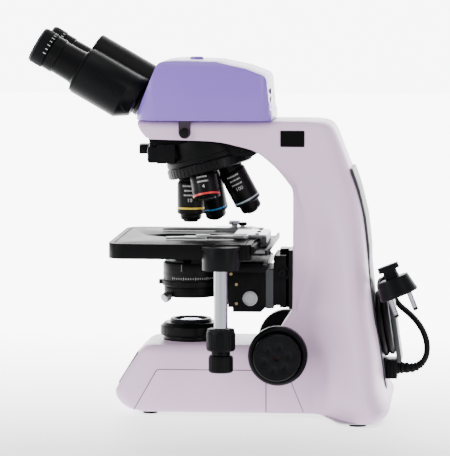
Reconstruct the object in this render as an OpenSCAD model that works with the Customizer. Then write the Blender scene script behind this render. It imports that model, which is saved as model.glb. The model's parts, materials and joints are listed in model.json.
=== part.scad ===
// Upright laboratory microscope with a binocular head and a built-in camera.
// Millimetres. +Z is up, -X is the user's side, -Y is the user's right.
// All heights are above the table. Lengths along X inside on_axis() count from the optical axis.

/* [Stand] */
// Where the optical axis stands along X
axis_x = -26.4; // [-26.4:0.1:-26.4]
// Width of the front base
base_w = 100; // [96:1:104]
// Height of the front base's top face
base_top = 67.5; // [67.5:0.5:67.5]
// Wall of the painted castings
wall = 4; // [3:0.5:5]
// Half width of the foot's rear wings
wing_half = 116; // [110:1:120]
// Half width of the upper arm
arm_half = 42; // [40:1:44]
// Height of the arm's top face
arm_top = 281; // [281:1:281]
// Height of the rubber feet
foot_h = 2.2; // [2:0.1:2.2]

/* [Optics] */
// Tilt of the nosepiece and of the eyepieces' front
turret_tilt = 15; // [15:1:15]
// Number of objective ports
ports = 5; // [5:1:5]
// Radius of the ring that the objective seats stand on
seat_r = 19.6; // [19.6:0.1:19.6]
// Height of the working objective's seat
seat_z = 229; // [229:1:229]
// Radius of the objective thread's hole
rms_r = 10.16; // [10.16:0.01:10.16]
// Inclination of the eyetubes
eye_tilt = 30; // [30:1:30]
// Distance between the eyepieces
ipd = 64; // [60:1:66]

/* [Stage] */
// Height of the stage's top face
stage_top = 168; // [168:0.5:168]
// Thickness of the stage plate
stage_t = 14.4; // [14:0.2:14.8]
// Half width of the stage plate
stage_half = 88; // [84:1:90]

/* [Drives] */
// Radius of the coarse focus knobs
coarse_r = 28; // [27:0.5:29]
// Pitch radius of the focus pinion
pinion_r = 6; // [6:1:6]
// Height of the focus shafts
focus_z = 61; // [61:1:61]

/* [Lead] */
// Diameter of the mains lead
cord_d = 6; // [6:0.5:6]

/* [Hidden] */
$fn = 64;
eps = 0.01;
run = 0.05;                  // radial clearance of a running fit
gap = 0.3;                   // air between pieces that pass each other
base_bottom = 3.2;
base_back = 76;              // where the front base meets the column's shell
focus_x = 89;
rack_x = focus_x + pinion_r; // the rack's pitch line
sleeve_r = 6;
fine_r = 3;
lamp_z = 36;
guide_front = 96.5;
guide_back = 100.2;
block_back = 94;
drive_x = 37.2;
drive_y = -95;
turret_r = 41;
fixed_ring_z = 8.3;
turret_x = seat_r * cos(turret_tilt);
turret_z = seat_z + seat_r * sin(turret_tilt);
head_bottom = 281.7;
head_top = 339;
face_x = -39.5;              // centre of the head's sloping face
face_z = 307;
eye_drop = 11.9;             // eyepiece axes below the pivot barrel's axis
eye_half = ipd / 2;
pivot_r = 24.5;
housing_len = 64;
tube_r = 16;
condenser_low = 110;
winder_z = 88;

pink = [0.84, 0.77, 0.83];
violet = [0.62, 0.55, 0.83];
black = [0.10, 0.10, 0.11];
grey = [0.32, 0.33, 0.36];
steel = [0.75, 0.75, 0.77];
brass = [0.75, 0.62, 0.35];
glassy = [0.7, 0.8, 0.85, 0.5];

// ---- Outlines -------------------------------------------------------------------------------

function unit(v) = v / norm(v);

// One corner p between a and b, rounded with radius r in n steps.
function corner(a, p, b, r, n) =
    r <= 0 ? [p] :
    let (ua = unit(a - p), ub = unit(b - p),
         half = acos(max(-1, min(1, ua * ub))) / 2,
         c = p + unit(ua + ub) * r / sin(half),
         s = p + ua * r / tan(half) - c,
         e = p + ub * r / tan(half) - c,
         turn = s[0] * e[1] - s[1] * e[0] > 0 ? 180 - 2 * half : 2 * half - 180)
    [for (i = [0:n]) let (t = turn * i / n)
        c + [s[0] * cos(t) - s[1] * sin(t), s[0] * sin(t) + s[1] * cos(t)]];

// A closed outline from [x, y, radius] corners.
function rounded(pts, n = 5) =
    let (m = len(pts), xy = [for (p = pts) [p[0], p[1]]])
    [for (i = [0:m - 1]) each corner(xy[(i + m - 1) % m], xy[i], xy[(i + 1) % m], pts[i][2], n)];

module outline(pts, n = 5) { polygon(rounded(pts, n)); }

module rounded_box(size, r) {
    x = size[0] / 2;
    y = size[1] / 2;
    linear_extrude(size[2]) outline([[-x, -y, r], [x, -y, r], [x, y, r], [-x, y, r]]);
}

// An outline in (X, Z) made w thick across Y, about y.
module across(w, y = 0) {
    translate([0, y + w / 2, 0]) rotate([90, 0, 0]) linear_extrude(w) children();
}

// An outline in (Y, Z) made long along X from x0 to x1.
module along(x0, x1) {
    translate([x0, 0, 0]) rotate([90, 0, 90]) linear_extrude(x1 - x0) children();
}

module on_axis() { translate([axis_x, 0, 0]) children(); }

// The nosepiece's own frame: its axis is local Z, its seats lie round local z = 0.
module tilted() { on_axis() translate([turret_x, 0, turret_z]) rotate([0, -turret_tilt, 0]) children(); }

// The frame of one objective port, phi degrees from the working place; the objective points to -Z.
module port(phi) {
    tilted() rotate([0, 0, phi]) translate([-seat_r, 0, 0]) rotate([0, turret_tilt, 0]) children();
}

// The binocular's frame: local Z runs up the eyetubes, local X points up and away.
module binocular() { on_axis() translate([face_x, 0, face_z]) rotate([0, eye_tilt - 90, 0]) children(); }

// The same, on one eyepiece's axis; side is -1 on the user's right.
module eye_axis(side) { binocular() translate([-eye_drop, side * eye_half, 0]) children(); }

// A flat ring or tube from z0 to z1.
module ring(r0, r1, z0, z1) {
    rotate_extrude() translate([r0, z0]) square([r1 - r0, z1 - z0]);
}

// ---- Stand ----------------------------------------------------------------------------------

base_side = [[-48, base_bottom, 8], [-67.5, 14, 8], [-69.5, 23, 4], [-42, base_top, 12],
    [base_back, base_top, 0], [base_back, base_bottom, 0]];
// The trapezoid service panel's outline, grown by g.
function panel_side(g) = [[-50 - g, base_bottom + 1], [-28 - g / 2, 44 + g], [96 + g / 2, 44 + g],
    [112 + g, base_bottom + 1]];
slope_a = [-65.5, 29.3];     // ends of the sloping front panel
slope_b = [-47.2, 59];
slope_n = unit([slope_a[1] - slope_b[1], slope_b[0] - slope_a[0]]);
function slope_strip(d0, d1) = [slope_a + slope_n * d0, slope_b + slope_n * d0,
    slope_b + slope_n * d1, slope_a + slope_n * d1];

module base_solid(inset) {
    h = base_w / 2 - inset;
    intersection() {
        across(2 * h) offset(delta = -inset) outline(base_side);
        along(-80, base_back) outline([[-h, 0, 0], [-h, base_top - inset, 9], [h, base_top - inset, 9], [h, 0, 0]]);
    }
}

module base_housing() {
    collar_hole = 22.3;
    panel_t = 1.2;
    color(pink) on_axis() difference() {
        base_solid(0);
        difference() {
            base_solid(wall);
            translate([-80, -60, base_bottom - 1]) cube([200, 120, 1]);
        }
        translate([-52, -base_w / 2 + wall, base_bottom - 1]) cube([base_back + 60, base_w - 2 * wall, wall + 2]);
        translate([base_back - wall - 1, -base_w / 2 + wall, base_bottom]) cube([wall + 2, base_w - 2 * wall, 56]);
        cylinder(h = 100, r = collar_hole);
        for (s = [-1, 1])
            across(panel_t + 1, s * (base_w / 2 - panel_t / 2 + 0.5)) polygon(panel_side(0.2));
        across(80.4) polygon(slope_strip(-1, 4));
        translate([-8, base_w / 2 - wall - 1, 18]) cube([21, wall + 2, 13]);
        translate([30, base_w / 2 - wall - 6, 54]) rotate([-90, 0, 0]) cylinder(h = wall + 7, r = 5.4);
    }
}

module side_panels() {
    panel_t = 1.2;
    color(pink) on_axis() difference() {
        for (s = [-1, 1])
            across(panel_t, s * (base_w / 2 - panel_t / 2)) polygon(panel_side(0));
        translate([-8, base_w / 2 - wall - 1, 18]) cube([21, wall + 2, 13]);
        translate([focus_x, 0, focus_z]) rotate([90, 0, 0]) cylinder(h = 120, r = sleeve_r + 2, center = true);
    }
}

module bottom_plate() {
    color(grey) on_axis() translate([0, 0, foot_h])
        linear_extrude(base_bottom - foot_h)
            outline([[-48, -43, 10], [126, -43, 14], [150, -108, 14], [182, -108, 10],
                [182, 108, 10], [150, 108, 14], [126, 43, 14], [-48, 43, 10]]);
}

module feet() {
    color(black) on_axis() for (s = [-1, 1]) {
        translate([-36, s * 35, 0]) cylinder(h = foot_h, r = 7);
        translate([166, s * 99, 0]) cylinder(h = foot_h, r = 8);
    }
}

module front_panel() {
    color(grey) on_axis() across(80) polygon(slope_strip(-1, 1));
}

// The column's sections: front edge, half width there, wing edge and its half width, rear edge.
function front_x(z) = lookup(z, [[3, base_back], [68, base_back], [75, 84], [85, 90], [101, 100.3],
    [215, 100.8], [224, 94.8], [237, 83.8], [250, 69.5]]);
function front_w(z) = lookup(z, [[3, 50], [58, 50], [67.5, 46], [85, 41], [101, 36], [215, 36], [237, 40], [250, 42]]);
function edge_x(z) = lookup(z, [[3, 118], [67, 116], [85, 111], [101, 106], [130, 114], [160, 117],
    [190, 113], [215, 106], [230, 104], [250, 100]]);
function edge_w(z) = lookup(z, [[3, 50.5], [58, 50.5], [67.5, 48], [101, 39], [160, 42], [215, 41.5], [250, 42]]);
function rear_x(z) = lookup(z, [[3, 189], [8, 194], [13, 195], [20, 189.5], [51, 186], [76, 182.5], [95, 178.5],
    [123, 175], [163, 171.4], [191, 168], [218, 161.5], [239, 154], [264, 144]]);
function wing_w(z) = lookup(z, [[3, wing_half - 3], [10, wing_half], [16, wing_half - 3], [67, 98], [160, 68],
    [220, 50], [250, 42.5]]);
column_z = [base_bottom, 8, 13, 20, 35, 51, 60, 67.5, 75, 85, 93, 101, 115, 130, 145, 160, 175, 190, 205, 215,
    224, 237, 250];

// Half a section from the front to the rear, drawn in by d.
function half_section(z, d) =
    let (fw = front_w(z) - d, ex = edge_x(z) + d, ew = edge_w(z) - d, rx = rear_x(z) - d, ww = wing_w(z) - d,
         wx = rx - 16)
    concat([[front_x(z) + d, fw], [ex, ew]],
        [for (i = [1:5]) let (t = i / 5, s = t * t * (3 - 2 * t)) [ex + (wx - ex) * t, ew + (ww - ew) * s]],
        [[rx - 5, ew + (ww - ew) * 0.96], [rx - 1, ew + (ww - ew) * 0.82], [rx, ew + (ww - ew) * 0.6]]);
function section(z, d) =
    let (h = half_section(z, d), m = len(h))
    concat([for (i = [0:m - 1]) [h[i][0], h[i][1], z]],
        [for (i = [m - 1:-1:0]) [h[i][0], -h[i][1], z]]);

// A wall of thickness d between two lofts over the same heights, open at both ends.
module lofted_shell(heights, d) {
    m = len(section(heights[0], 0));
    k = len(heights);
    pts = concat([for (z = heights) each section(z, 0)], [for (z = heights) each section(z, d)]);
    function at(inner, level, i) = (inner ? m * k : 0) + level * m + i % m;
    cells = [for (j = [0:k - 2], i = [0:m - 1]) [j, i]];
    faces = concat(
        [for (c = cells) [at(false, c[0], c[1]), at(false, c[0], c[1] + 1), at(false, c[0] + 1, c[1] + 1)]],
        [for (c = cells) [at(false, c[0], c[1]), at(false, c[0] + 1, c[1] + 1), at(false, c[0] + 1, c[1])]],
        [for (c = cells) [at(true, c[0], c[1]), at(true, c[0] + 1, c[1]), at(true, c[0] + 1, c[1] + 1)]],
        [for (c = cells) [at(true, c[0], c[1]), at(true, c[0] + 1, c[1] + 1), at(true, c[0], c[1] + 1)]],
        [for (i = [0:m - 1]) [at(false, 0, i + 1), at(false, 0, i), at(true, 0, i)]],
        [for (i = [0:m - 1]) [at(false, 0, i + 1), at(true, 0, i), at(true, 0, i + 1)]],
        [for (i = [0:m - 1]) [at(false, k - 1, i), at(false, k - 1, i + 1), at(true, k - 1, i + 1)]],
        [for (i = [0:m - 1]) [at(false, k - 1, i), at(true, k - 1, i + 1), at(true, k - 1, i)]]);
    polyhedron(pts, faces);
}

module column_housing() {
    color(pink) on_axis() difference() {
        lofted_shell(column_z, wall);
        translate([focus_x, 0, focus_z]) rotate([90, 0, 0]) cylinder(h = 2 * coarse_r + 60, r = sleeve_r + 1, center = true);
        translate([rack_x - 4, 13, 70]) cube([14, 14, 36]);
        translate([base_back - 1, -base_w / 2 + wall, base_bottom + 1]) cube([wall + 2, base_w - 2 * wall, 56]);
        for (s = [-1, 1])
            across(2.2, s * (base_w / 2 - 0.1)) polygon(panel_side(0.2));
        translate([170, -14.2, 31]) cube([30, 28.4, 21]);
    }
}

arm_side = [[-47.7, arm_top, 2], [134, arm_top, 12], [149.6, 250, 0], [69.5, 250, 0], [60, 254, 0], [46, 257.6, 0],
    [27.8, 261.3, 0], [10, 262.6, 0], [-35.4, 263.5, 3], [-41.5, 267.5, 2]];
arm_round = 8;

module arm_housing() {
    bore = 21;
    inner = arm_half - wall;
    color(pink) on_axis() difference() {
        intersection() {
            across(2 * arm_half) outline(arm_side);
            along(-60, 160) outline([[-arm_half, 240, 0], [-arm_half, arm_top, arm_round],
                [arm_half, arm_top, arm_round], [arm_half, 240, 0]]);
        }
        across(2 * inner) outline([[-28, arm_top - 6, 2], [130, arm_top - 6, 8], [143, 249, 0], [84, 249, 0],
            [62, 259, 6], [30, 266, 6], [-28, 269, 2]]);
        translate([0, 0, 240]) cylinder(h = 60, r = bore);
        translate([-2, -arm_half - 1, 270]) rotate([-90, 0, 0]) cylinder(h = 8, r = 5.6);
        translate([-5.4, -arm_half - 1, 270]) cube([6.8, 8, 20]);
    }
}

module rear_panel() {
    proud = 1.2;
    strip_z = [for (z = column_z) if (z >= 20 && z <= 237) z];
    color(grey) on_axis() difference() {
        intersection() {
            across(96) polygon(concat([for (z = strip_z) [rear_x(z) + eps, z]],
                [for (i = [len(strip_z) - 1:-1:0])
                    [rear_x(strip_z[i]) + (strip_z[i] > 150 ? 2 * proud : proud), strip_z[i]]]));
            along(140, 210) outline([[-12, 22, 2], [-40, 60, 6], [-34, 236, 6], [34, 236, 6], [40, 60, 6], [12, 22, 2]]);
        }
        translate([170, -14.2, 31]) cube([30, 28.4, 21]);
    }
}

winder_low = [205, 49];
winder_high = [194.6, 121];

module cord_winder() {
    paddle_t = 4.5;
    color(grey) on_axis() {
        difference() {
            union() {
                across(44) outline([[winder_low[0] - paddle_t, winder_low[1], 2], [winder_low[0], winder_low[1], 2],
                    [winder_high[0], winder_high[1], 2], [winder_high[0] - paddle_t, winder_high[1], 2]]);
                across(40) polygon([[rear_x(76) + 1.2, 76], [199, 76], [195.5, 102], [rear_x(102) + 1.2, 102]]);
            }
            across(60) polygon([[150, 60], [rear_x(76) + 1.25, 76], [rear_x(95) + 1.25, 95], [rear_x(102) + 1.25, 102],
                [150, 110]]);
        }
    }
}

module power_inlet() {
    color(black) on_axis() difference() {
        translate([172, -14, 31.2]) cube([17.2, 28, 20.6]);
        translate([174, -12.4, 33]) cube([30, 24.8, 17]);
    }
}

module power_switch() {
    color(black) on_axis() translate([2.5, base_w / 2 - 6, 24.5]) difference() {
        translate([0, 0, -6]) cylinder(h = 12, r = 9);
        translate([-12, -20, -8]) cube([24, 16, 16]);
    }
}

module brightness_dial() {
    color(black) on_axis() translate([30, base_w / 2, 54]) rotate([-90, 0, 0]) {
        translate([0, 0, gap]) cylinder(h = 9, r = 9);
        translate([0, 0, -8]) cylinder(h = 9, r = 5);
    }
}

module head_lock_screw() {
    color(grey) on_axis() translate([-2, -arm_half, 270]) rotate([-90, 0, 0]) {
        translate([0, 0, -5.5]) cylinder(h = 10, r = 4.6);
        translate([0, 0, 4.5]) cylinder(h = 2, r = 3);
    }
}

// ---- Lamp -----------------------------------------------------------------------------------

module illuminator_collar() {
    color(black) on_axis() rotate_extrude()
        polygon([[16, 50], [22, 50], [22, base_top], [26.8, base_top], [26.8, 71.6], [20, 71.6], [20, 87.7], [16, 87.7]]);
}

module field_iris_ring() {
    color(black) on_axis() rotate_extrude()
        polygon([[20 + run, 71.9], [28.4, 71.9], [29.3, 72.8], [29.3, 80.8], [28.4, 81.6], [25.5, 84.5], [20 + run, 84.5]]);
}

module field_lens() {
    color(glassy) on_axis() rotate_extrude()
        polygon([[0, 78], [15.9, 80], [15.9, 84], [12, 86], [7, 87.2], [0, 87.7]]);
}

module lamp_module() {
    color(steel) on_axis() translate([30, 0, lamp_z]) rotate([0, 90, 0]) {
        cylinder(h = 8, r = 14);
        translate([0, 0, -6]) ring(9, 13, 0, 6);
        for (i = [0:4]) translate([0, 0, 10 + 5 * i]) ring(5, 16, 0, 2);
        translate([0, 0, 8]) cylinder(h = 24, r = 5);
    }
}

module fold_mirror() {
    color(steel) on_axis() translate([0, 0, lamp_z]) rotate([0, -45, 0]) translate([-1.5, -14, -18]) cube([3, 28, 36]);
}

module power_board() {
    color([0.1, 0.35, 0.2]) on_axis() translate([112, -32, 10]) {
        cube([50, 64, 1.6]);
        translate([6, 6, 1.6]) cube([16, 20, 14]);
        translate([28, 8, 1.6]) cylinder(h = 18, r = 6);
        translate([12, 40, 1.6]) cube([22, 14, 9]);
    }
}

// ---- Focus drive ----------------------------------------------------------------------------

// The focus dovetail's section, grown by c.
function dovetail(c) = [[block_back + 1, -9 - c], [87 - c, -12 - c], [87 - c, 12 + c], [block_back + 1, 9 + c]];

module focus_guide() {
    color(grey) on_axis() {
        translate([0, 0, 100]) linear_extrude(57)
            polygon([[guide_back, -26], [guide_front, -26], [guide_front, -8.5], [87, -12], [87, 12], [guide_front, 8.5],
                [guide_front, 11], [guide_back, 11]]);
    }
}

module focus_block() {
    half = 30;
    color(black) on_axis() difference() {
        union() {
            across(2 * half) polygon([[38.5, 102], [43, 102], [43, 97.5], [70, 97.5], [74.4, 102], [74.4, 139],
                [38.5, 139]]);
            across(2 * half - 3) polygon([[74.4, 101], [82, 101], [82, 139], [74.4, 139]]);
            across(2 * half - 4) polygon([[82, 104], [block_back, 104], [block_back, 152], [82, 152]]);
            translate([0, 0, 102]) linear_extrude(37) polygon([[38.6, -6], [34, -9], [34, 9], [38.6, 6]]);
        }
        translate([0, 0, 90]) linear_extrude(70) polygon(dovetail(0.08));
        translate([59.8, 0, 110.9]) rotate([90, 0, 0]) cylinder(h = 80, r = 4 + run, center = true);
    }
}

// Straight rack: teeth point to -X, pitch one circular pitch of the pinion.
module focus_rack() {
    pitch = PI;
    back = rack_x + 5;
    color(steel) on_axis() across(8, 21) polygon(concat(
        [[back, 47], [back, 150], [block_back, 150], [block_back, 108], [rack_x + 1.3, 105]],
        [for (i = [7:-1:-3]) let (z = focus_z + pitch * (i + 0.5))
            each [[rack_x + 1.3, z + 0.95], [rack_x - 0.8, z + 0.35], [rack_x - 0.8, z - 0.35], [rack_x + 1.3, z - 0.95]]],
        [[rack_x + 1.3, 47]]));
}

module coarse_shaft() {
    teeth = 12;
    color(steel) on_axis() translate([focus_x, 0, focus_z]) rotate([90, 0, 0]) {
        difference() {
            union() {
                translate([0, 0, -60]) cylinder(h = 120, r = 4.4);
                for (s = [-1, 1]) translate([0, 0, s > 0 ? 44 : -60]) cylinder(h = 16, r = sleeve_r);
                translate([0, 0, -27]) linear_extrude(12)
                    polygon([for (i = [0:teeth - 1]) let (a = i * 360 / teeth)
                        each [for (p = [[4.75, -9], [6.7, -3], [6.7, 3], [4.75, 9]])
                            p[0] * [cos(a + p[1]), sin(a + p[1])]]]);
            }
            cylinder(h = 130, r = fine_r + run, center = true);
        }
    }
}

module both_sides(z) {
    on_axis() translate([focus_x, 0, focus_z]) for (s = [-1, 1]) rotate([s * 90, 0, 0]) translate([0, 0, z]) children();
}

module coarse_knobs() {
    color(black) both_sides(60) rotate_extrude()
        polygon([[sleeve_r - 3 + run, 0], [coarse_r - 2, 0], [coarse_r, 2], [coarse_r, 13], [coarse_r - 2, 15.5],
            [coarse_r - 4.2, 15.5], [coarse_r - 4.2, 11], [coarse_r - 5, 7], [sleeve_r - 3 + run, 7]]);
}

module fine_knobs() {
    dimple_ring = 11.3;
    color(black) both_sides(60 + 7.3) difference() {
        rotate_extrude() polygon([[0, 0], [coarse_r - 6.2, 0], [coarse_r - 5.6, 5], [coarse_r - 5.6, 19],
            [coarse_r - 7.4, 20.5], [0, 20.5]]);
        translate([0, 0, -1]) cylinder(h = 10, r = fine_r + eps);
        for (i = [0:5]) rotate([0, 0, 60 * i + 15]) translate([dimple_ring, 0, 25.6]) sphere(r = 6.2, $fn = 32);
        translate([0, 0, 17]) cylinder(h = 5, r = 2.6);
    }
}

module fine_shaft() {
    color(steel) on_axis() translate([focus_x, 0, focus_z]) rotate([90, 0, 0])
        cylinder(h = 2 * (60 + 7.3 + 9), r = fine_r, center = true);
}

// ---- Nosepiece ------------------------------------------------------------------------------

module nosepiece_mount() {
    pin_r = 3;
    color(black) difference() {
        union() {
            on_axis() across(62) outline([[-38, 268, 0], [64, 268, 0], [66, 249.5, 1], [62, 247, 2], [20, 247, 4],
                [-12, 244, 2], [-36, 252, 2]]);
            on_axis() translate([-20.5, -28, 240]) translate([-8.5, -9, 0]) cube([17, 40, 18]);
            tilted() translate([0, 0, fixed_ring_z]) cylinder(h = 22, r = 39.6);
        }
        on_axis() across(2 * arm_half + 20) polygon([[-90, 263.5], [-35.4, 263.5], [10, 262.6], [27.8, 261.3],
            [46, 257.6], [60, 254], [69.5, 250], [90, 230], [90, 320], [-90, 320]]);
        on_axis() translate([0, 0, 220]) cylinder(h = 60, r = 10);
        on_axis() translate([-60, -8.4, 248.4]) cube([71, 16.8, 7.2]);
        tilted() translate([0, 0, fixed_ring_z - 1]) cylinder(h = 8, r = pin_r);
        tilted() translate([0, 0, fixed_ring_z - 30]) cylinder(h = 30, r = turret_r + gap);
    }
    color(steel) tilted() translate([0, 0, 1]) cylinder(h = fixed_ring_z + 6, r = pin_r - eps);
}

module filter_slider() {
    color(black) on_axis() difference() {
        union() {
            translate([-42, -8, 248.8]) cube([52, 16, 6.4]);
            translate([-49, -9, 247.4]) cube([8, 18, 9.2]);
        }
        translate([0, 0, 240]) cylinder(h = 30, r = 7);
    }
}

module turret_ring() {
    web = 7;                 // leaves metal for the flat seats on both of its faces
    rim = 36.4;
    slope = tan(turret_tilt);
    low = -seat_r * slope - 0.8;
    rotate_extrude() polygon([[0, low], [rim, low + rim * slope], [rim, -2], [turret_r - 1, -2], [turret_r, -1],
        [turret_r, fixed_ring_z - 1], [turret_r - 1, fixed_ring_z - gap], [rim - 1, fixed_ring_z - gap],
        [rim - 1, fixed_ring_z - 1], [(fixed_ring_z - 1 - low - web) / slope, fixed_ring_z - 1], [0, low + web]]);
}

module turret() {
    flat_r = 11.3;
    color(black) difference() {
        tilted() turret_ring();
        tilted() translate([0, 0, -10]) cylinder(h = 30, r = 3 + run);
        for (i = [0:ports - 1]) port(72 * i) {
            translate([0, 0, -8]) cylinder(h = 30, r = rms_r);
            translate([0, 0, -8]) cylinder(h = 8, r = flat_r);
        }
    }
}

// One objective: neck, barrel, coloured band, front cell and tip. len runs from the seat to the tip.
module objective(phi, len, neck, barrel_end, band, tip_r) {
    color(black) port(phi) difference() {
        rotate_extrude() polygon([[0, 4.4], [rms_r - 0.12, 4.4], [rms_r - 0.12, 0], [11.2, -0.02], [11.2, -neck + 1],
            [13.1, -neck - 1], [13.1, -barrel_end], [12.4, -barrel_end - 0.8], [10.4, -barrel_end - 1],
            [10.2, -len + 4], [9, -len + 2.2], [tip_r, -len + 1.6], [tip_r - 1, -len], [0, -len]]);
        translate([0, 0, 1]) cylinder(h = 10, r = 7);
    }
}

module objective_4x() { objective(72, 28.3, 5, 22.5, 20, 9); }
module objective_10x() { objective(0, 47.5, 9, 39, 34, 7.5); }
module objective_40x() { objective(-72, 53.1, 9, 43, 40, 6); }
module objective_100x() { objective(-144, 54.7, 9, 43, 40, 6); }

// ---- Head -----------------------------------------------------------------------------------

head_side = [[-49, head_bottom, 2], [-49, 285, 0], [-27, head_top - 2, 7], [-8, head_top, 0], [28, 337.5, 10],
    [56, 331.5, 12], [76, 324, 7], [79, 292.5, 1], [81, 290, 1], [81, head_bottom, 1]];

module head_solid(d) {
    half = 50 - d;
    intersection() {
        across(2 * half) offset(delta = -d) outline(head_side);
        along(-60, 100) outline([[-half, 280, 0], [-half, head_top - d, 9], [half, head_top - d, 9], [half, 280, 0]]);
        translate([0, 0, 270]) linear_extrude(90) outline([[-49 + d, -half, 20], [81 - d, -half, 14],
            [81 - d, half, 14], [-49 + d, half, 20]]);
    }
}

module head_shell() {
    color(violet) on_axis() difference() {
        head_solid(0);
        head_solid(3);
        translate([0, 0, 270]) cylinder(h = 20, r = 24);
        translate([face_x, 0, face_z]) rotate([0, eye_tilt - 90, 0]) {
            cylinder(h = 40, r = 20, center = true);
            translate([0, 0, 0.4]) cylinder(h = 20, r = 27);
        }
        for (i = [0, 1], j = [0, 1])
            translate([70, -22 + 14 * i, 298 + 8 * j]) cube([20, 9, 5]);
    }
}

module head_dovetail() {
    color(steel) on_axis() rotate_extrude()
        polygon([[12, 272], [20.6, 272], [18, 277], [18, head_bottom + 0.2], [23.8, head_bottom + 0.2],
            [23.8, head_bottom + 6], [12, head_bottom + 6]]);
}

module beam_splitter() {
    color(glassy) on_axis() translate([0, 0, 305]) {
        translate([-13, -13, -13]) cube([26, 26, 26]);
        translate([30, -20, -14]) cube([4, 40, 34]);
        translate([22, 0, 0]) rotate([0, 90, 0]) cylinder(h = 8, r = 11);
    }
}

module pivot_barrel() {
    color(black) binocular() difference() {
        rotate_extrude() polygon([[10, -6], [19.6, -6], [19.6, 0.4], [26.7, 0.4], [26.7, 4], [pivot_r, 4.2],
            [pivot_r, 66], [pivot_r - 1.5, 67.5], [10, 67.5]]);
        translate([0, 0, -20]) cylinder(h = 80, r = 10);
    }
}

// One prism housing with its eyetube. It hugs the pivot barrel with a little air.
module prism_housing(side) {
    sweep = 0.4;
    color(black) binocular() difference() {
        union() {
            translate([0, 0, 4.6]) hull() {
                translate([-eye_drop, side * eye_half, 12]) cylinder(h = housing_len - 17, r = 23.6, $fn = 40);
                translate([-eye_drop + 4, side * 26, 0]) cylinder(h = 4, r = 20, $fn = 40);
                translate([0, side * 22, 0]) cylinder(h = housing_len - 12, r = 12, $fn = 40);
            }
            translate([-eye_drop, side * eye_half, 0]) {
                translate([0, 0, 50]) cylinder(h = housing_len - 48, r = 22);
                translate([0, 0, 60]) cylinder(h = 28.4, r = tube_r);
            }
        }
        translate([0, 0, -10]) cylinder(h = 100, r = pivot_r + sweep);
        translate([-60, side > 0 ? -60 : 0, -10]) cube([120, 60, 120]);
        translate([-eye_drop, side * eye_half, 40]) cylinder(h = 60, r = 11.6);
        translate([-eye_drop, side * eye_half, 75]) cylinder(h = 22, r = 14);
        translate([-eye_drop + 3, side * 30, 14]) cylinder(h = 34, r = 14);
    }
}
module prism_housing_right() { prism_housing(-1); }
module prism_housing_left() { prism_housing(1); }

module diopter_ring(side) {
    color(black) eye_axis(side) rotate_extrude()
        polygon([[12.7, 88.7], [16, 88.7], [16.5, 89.4], [16.5, 99], [16, 99.6], [12.7, 99.6]]);
}
module diopter_ring_right() { diopter_ring(-1); }
module diopter_ring_left() { diopter_ring(1); }

module eyepiece(side) {
    color(black) eye_axis(side) rotate_extrude()
        polygon([[0, 68.5], [11.5, 68.5], [11.5, 76], [12.6, 78], [12.6, 99.9], [17.4, 99.9], [17.8, 101], [17.8, 111.5],
            [16.6, 114], [13.4, 114], [12, 110], [0, 110]]);
}
module eyepiece_right() { eyepiece(-1); }
module eyepiece_left() { eyepiece(1); }

// ---- Stage ----------------------------------------------------------------------------------

rail_y = [-56, -48, 48, 56];
rail_z = 146.2;
rail_r = 1.9;

module stage_base() {
    color(black) on_axis() difference() {
        translate([0, 0, 139]) linear_extrude(6.8) difference() {
            outline([[-4, -60, 3], [76, -60, 3], [76, 60, 3], [-4, 60, 3]]);
            translate([0, 0]) circle(r = 31);
            translate([-40, -31]) square([40, 62]);
        }
        for (y = rail_y) translate([-10, y, rail_z]) rotate([0, 90, 0]) cylinder(h = 100, r = rail_r);
    }
    color(brass) on_axis() for (y = rail_y)
        translate([-2, y, rail_z]) rotate([0, 90, 0]) cylinder(h = 76, r = rail_r - eps);
}

stage_slot = [[-45, 0, 2], [-24, -16, 14], [22, -16, 14], [40, 0, 4], [22, 16, 14], [-24, 16, 14]];

module stage_plate() {
    bottom = stage_top - stage_t;
    color(black) on_axis() difference() {
        union() {
            translate([0, 0, bottom]) linear_extrude(stage_t) difference() {
                outline([[-71, -stage_half, 15], [65, -stage_half, 4], [65, stage_half, 4], [-71, stage_half, 15]]);
                outline(stage_slot, 8);
            }
            for (s = [-1, 1]) translate([20, s * 52, 146.4]) translate([-14, -7, 0]) cube([28, 14, bottom - 146.4]);
            translate([65, -stage_half, 158]) cube([3, 2 * stage_half, 8]);
            translate([65, -stage_half, 158]) cube([15, 2 * stage_half, 2]);
            translate([78, -stage_half, 158]) cube([2, 2 * stage_half, 5]);
        }
        for (y = rail_y) translate([-10, y, rail_z]) rotate([0, 90, 0]) cylinder(h = 100, r = rail_r + run);
        translate([0, 0, stage_top - 1]) linear_extrude(2) difference() {
            outline([[-66, -stage_half + 5, 11], [60, -stage_half + 5, 3], [60, stage_half - 5, 3],
                [-66, stage_half - 5, 11]]);
            outline([[-64.8, -stage_half + 6.2, 10], [58.8, -stage_half + 6.2, 2], [58.8, stage_half - 6.2, 2],
                [-64.8, stage_half - 6.2, 10]]);
        }
    }
}

module stage_drive_housing() {
    color(black) on_axis() difference() {
        union() {
            translate([drive_x, drive_y, 145]) cylinder(h = 21.6, r = 17.6);
            translate([drive_x - 17.6, drive_y, 147]) cube([35.2, -stage_half - drive_y + eps, 19]);
            translate([drive_x, drive_y, 89.6]) cylinder(h = 56, r = 6);
        }
        translate([-80, -stage_half, 100]) cube([200, 40, 100]);
        translate([drive_x, drive_y, 80]) cylinder(h = 70, r = 4 + run);
    }
}

module stage_knob_upper() {
    color(black) on_axis() translate([drive_x, drive_y, 0]) difference() {
        rotate_extrude() polygon([[3 + run, 68.8], [12.6, 68.8], [13.3, 69.6], [13.3, 86.4], [12.6, 87.6], [12.9, 88.4],
            [12.9, 89.3], [4, 89.3], [4, 140], [3 + run, 140]]);
    }
}

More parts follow.
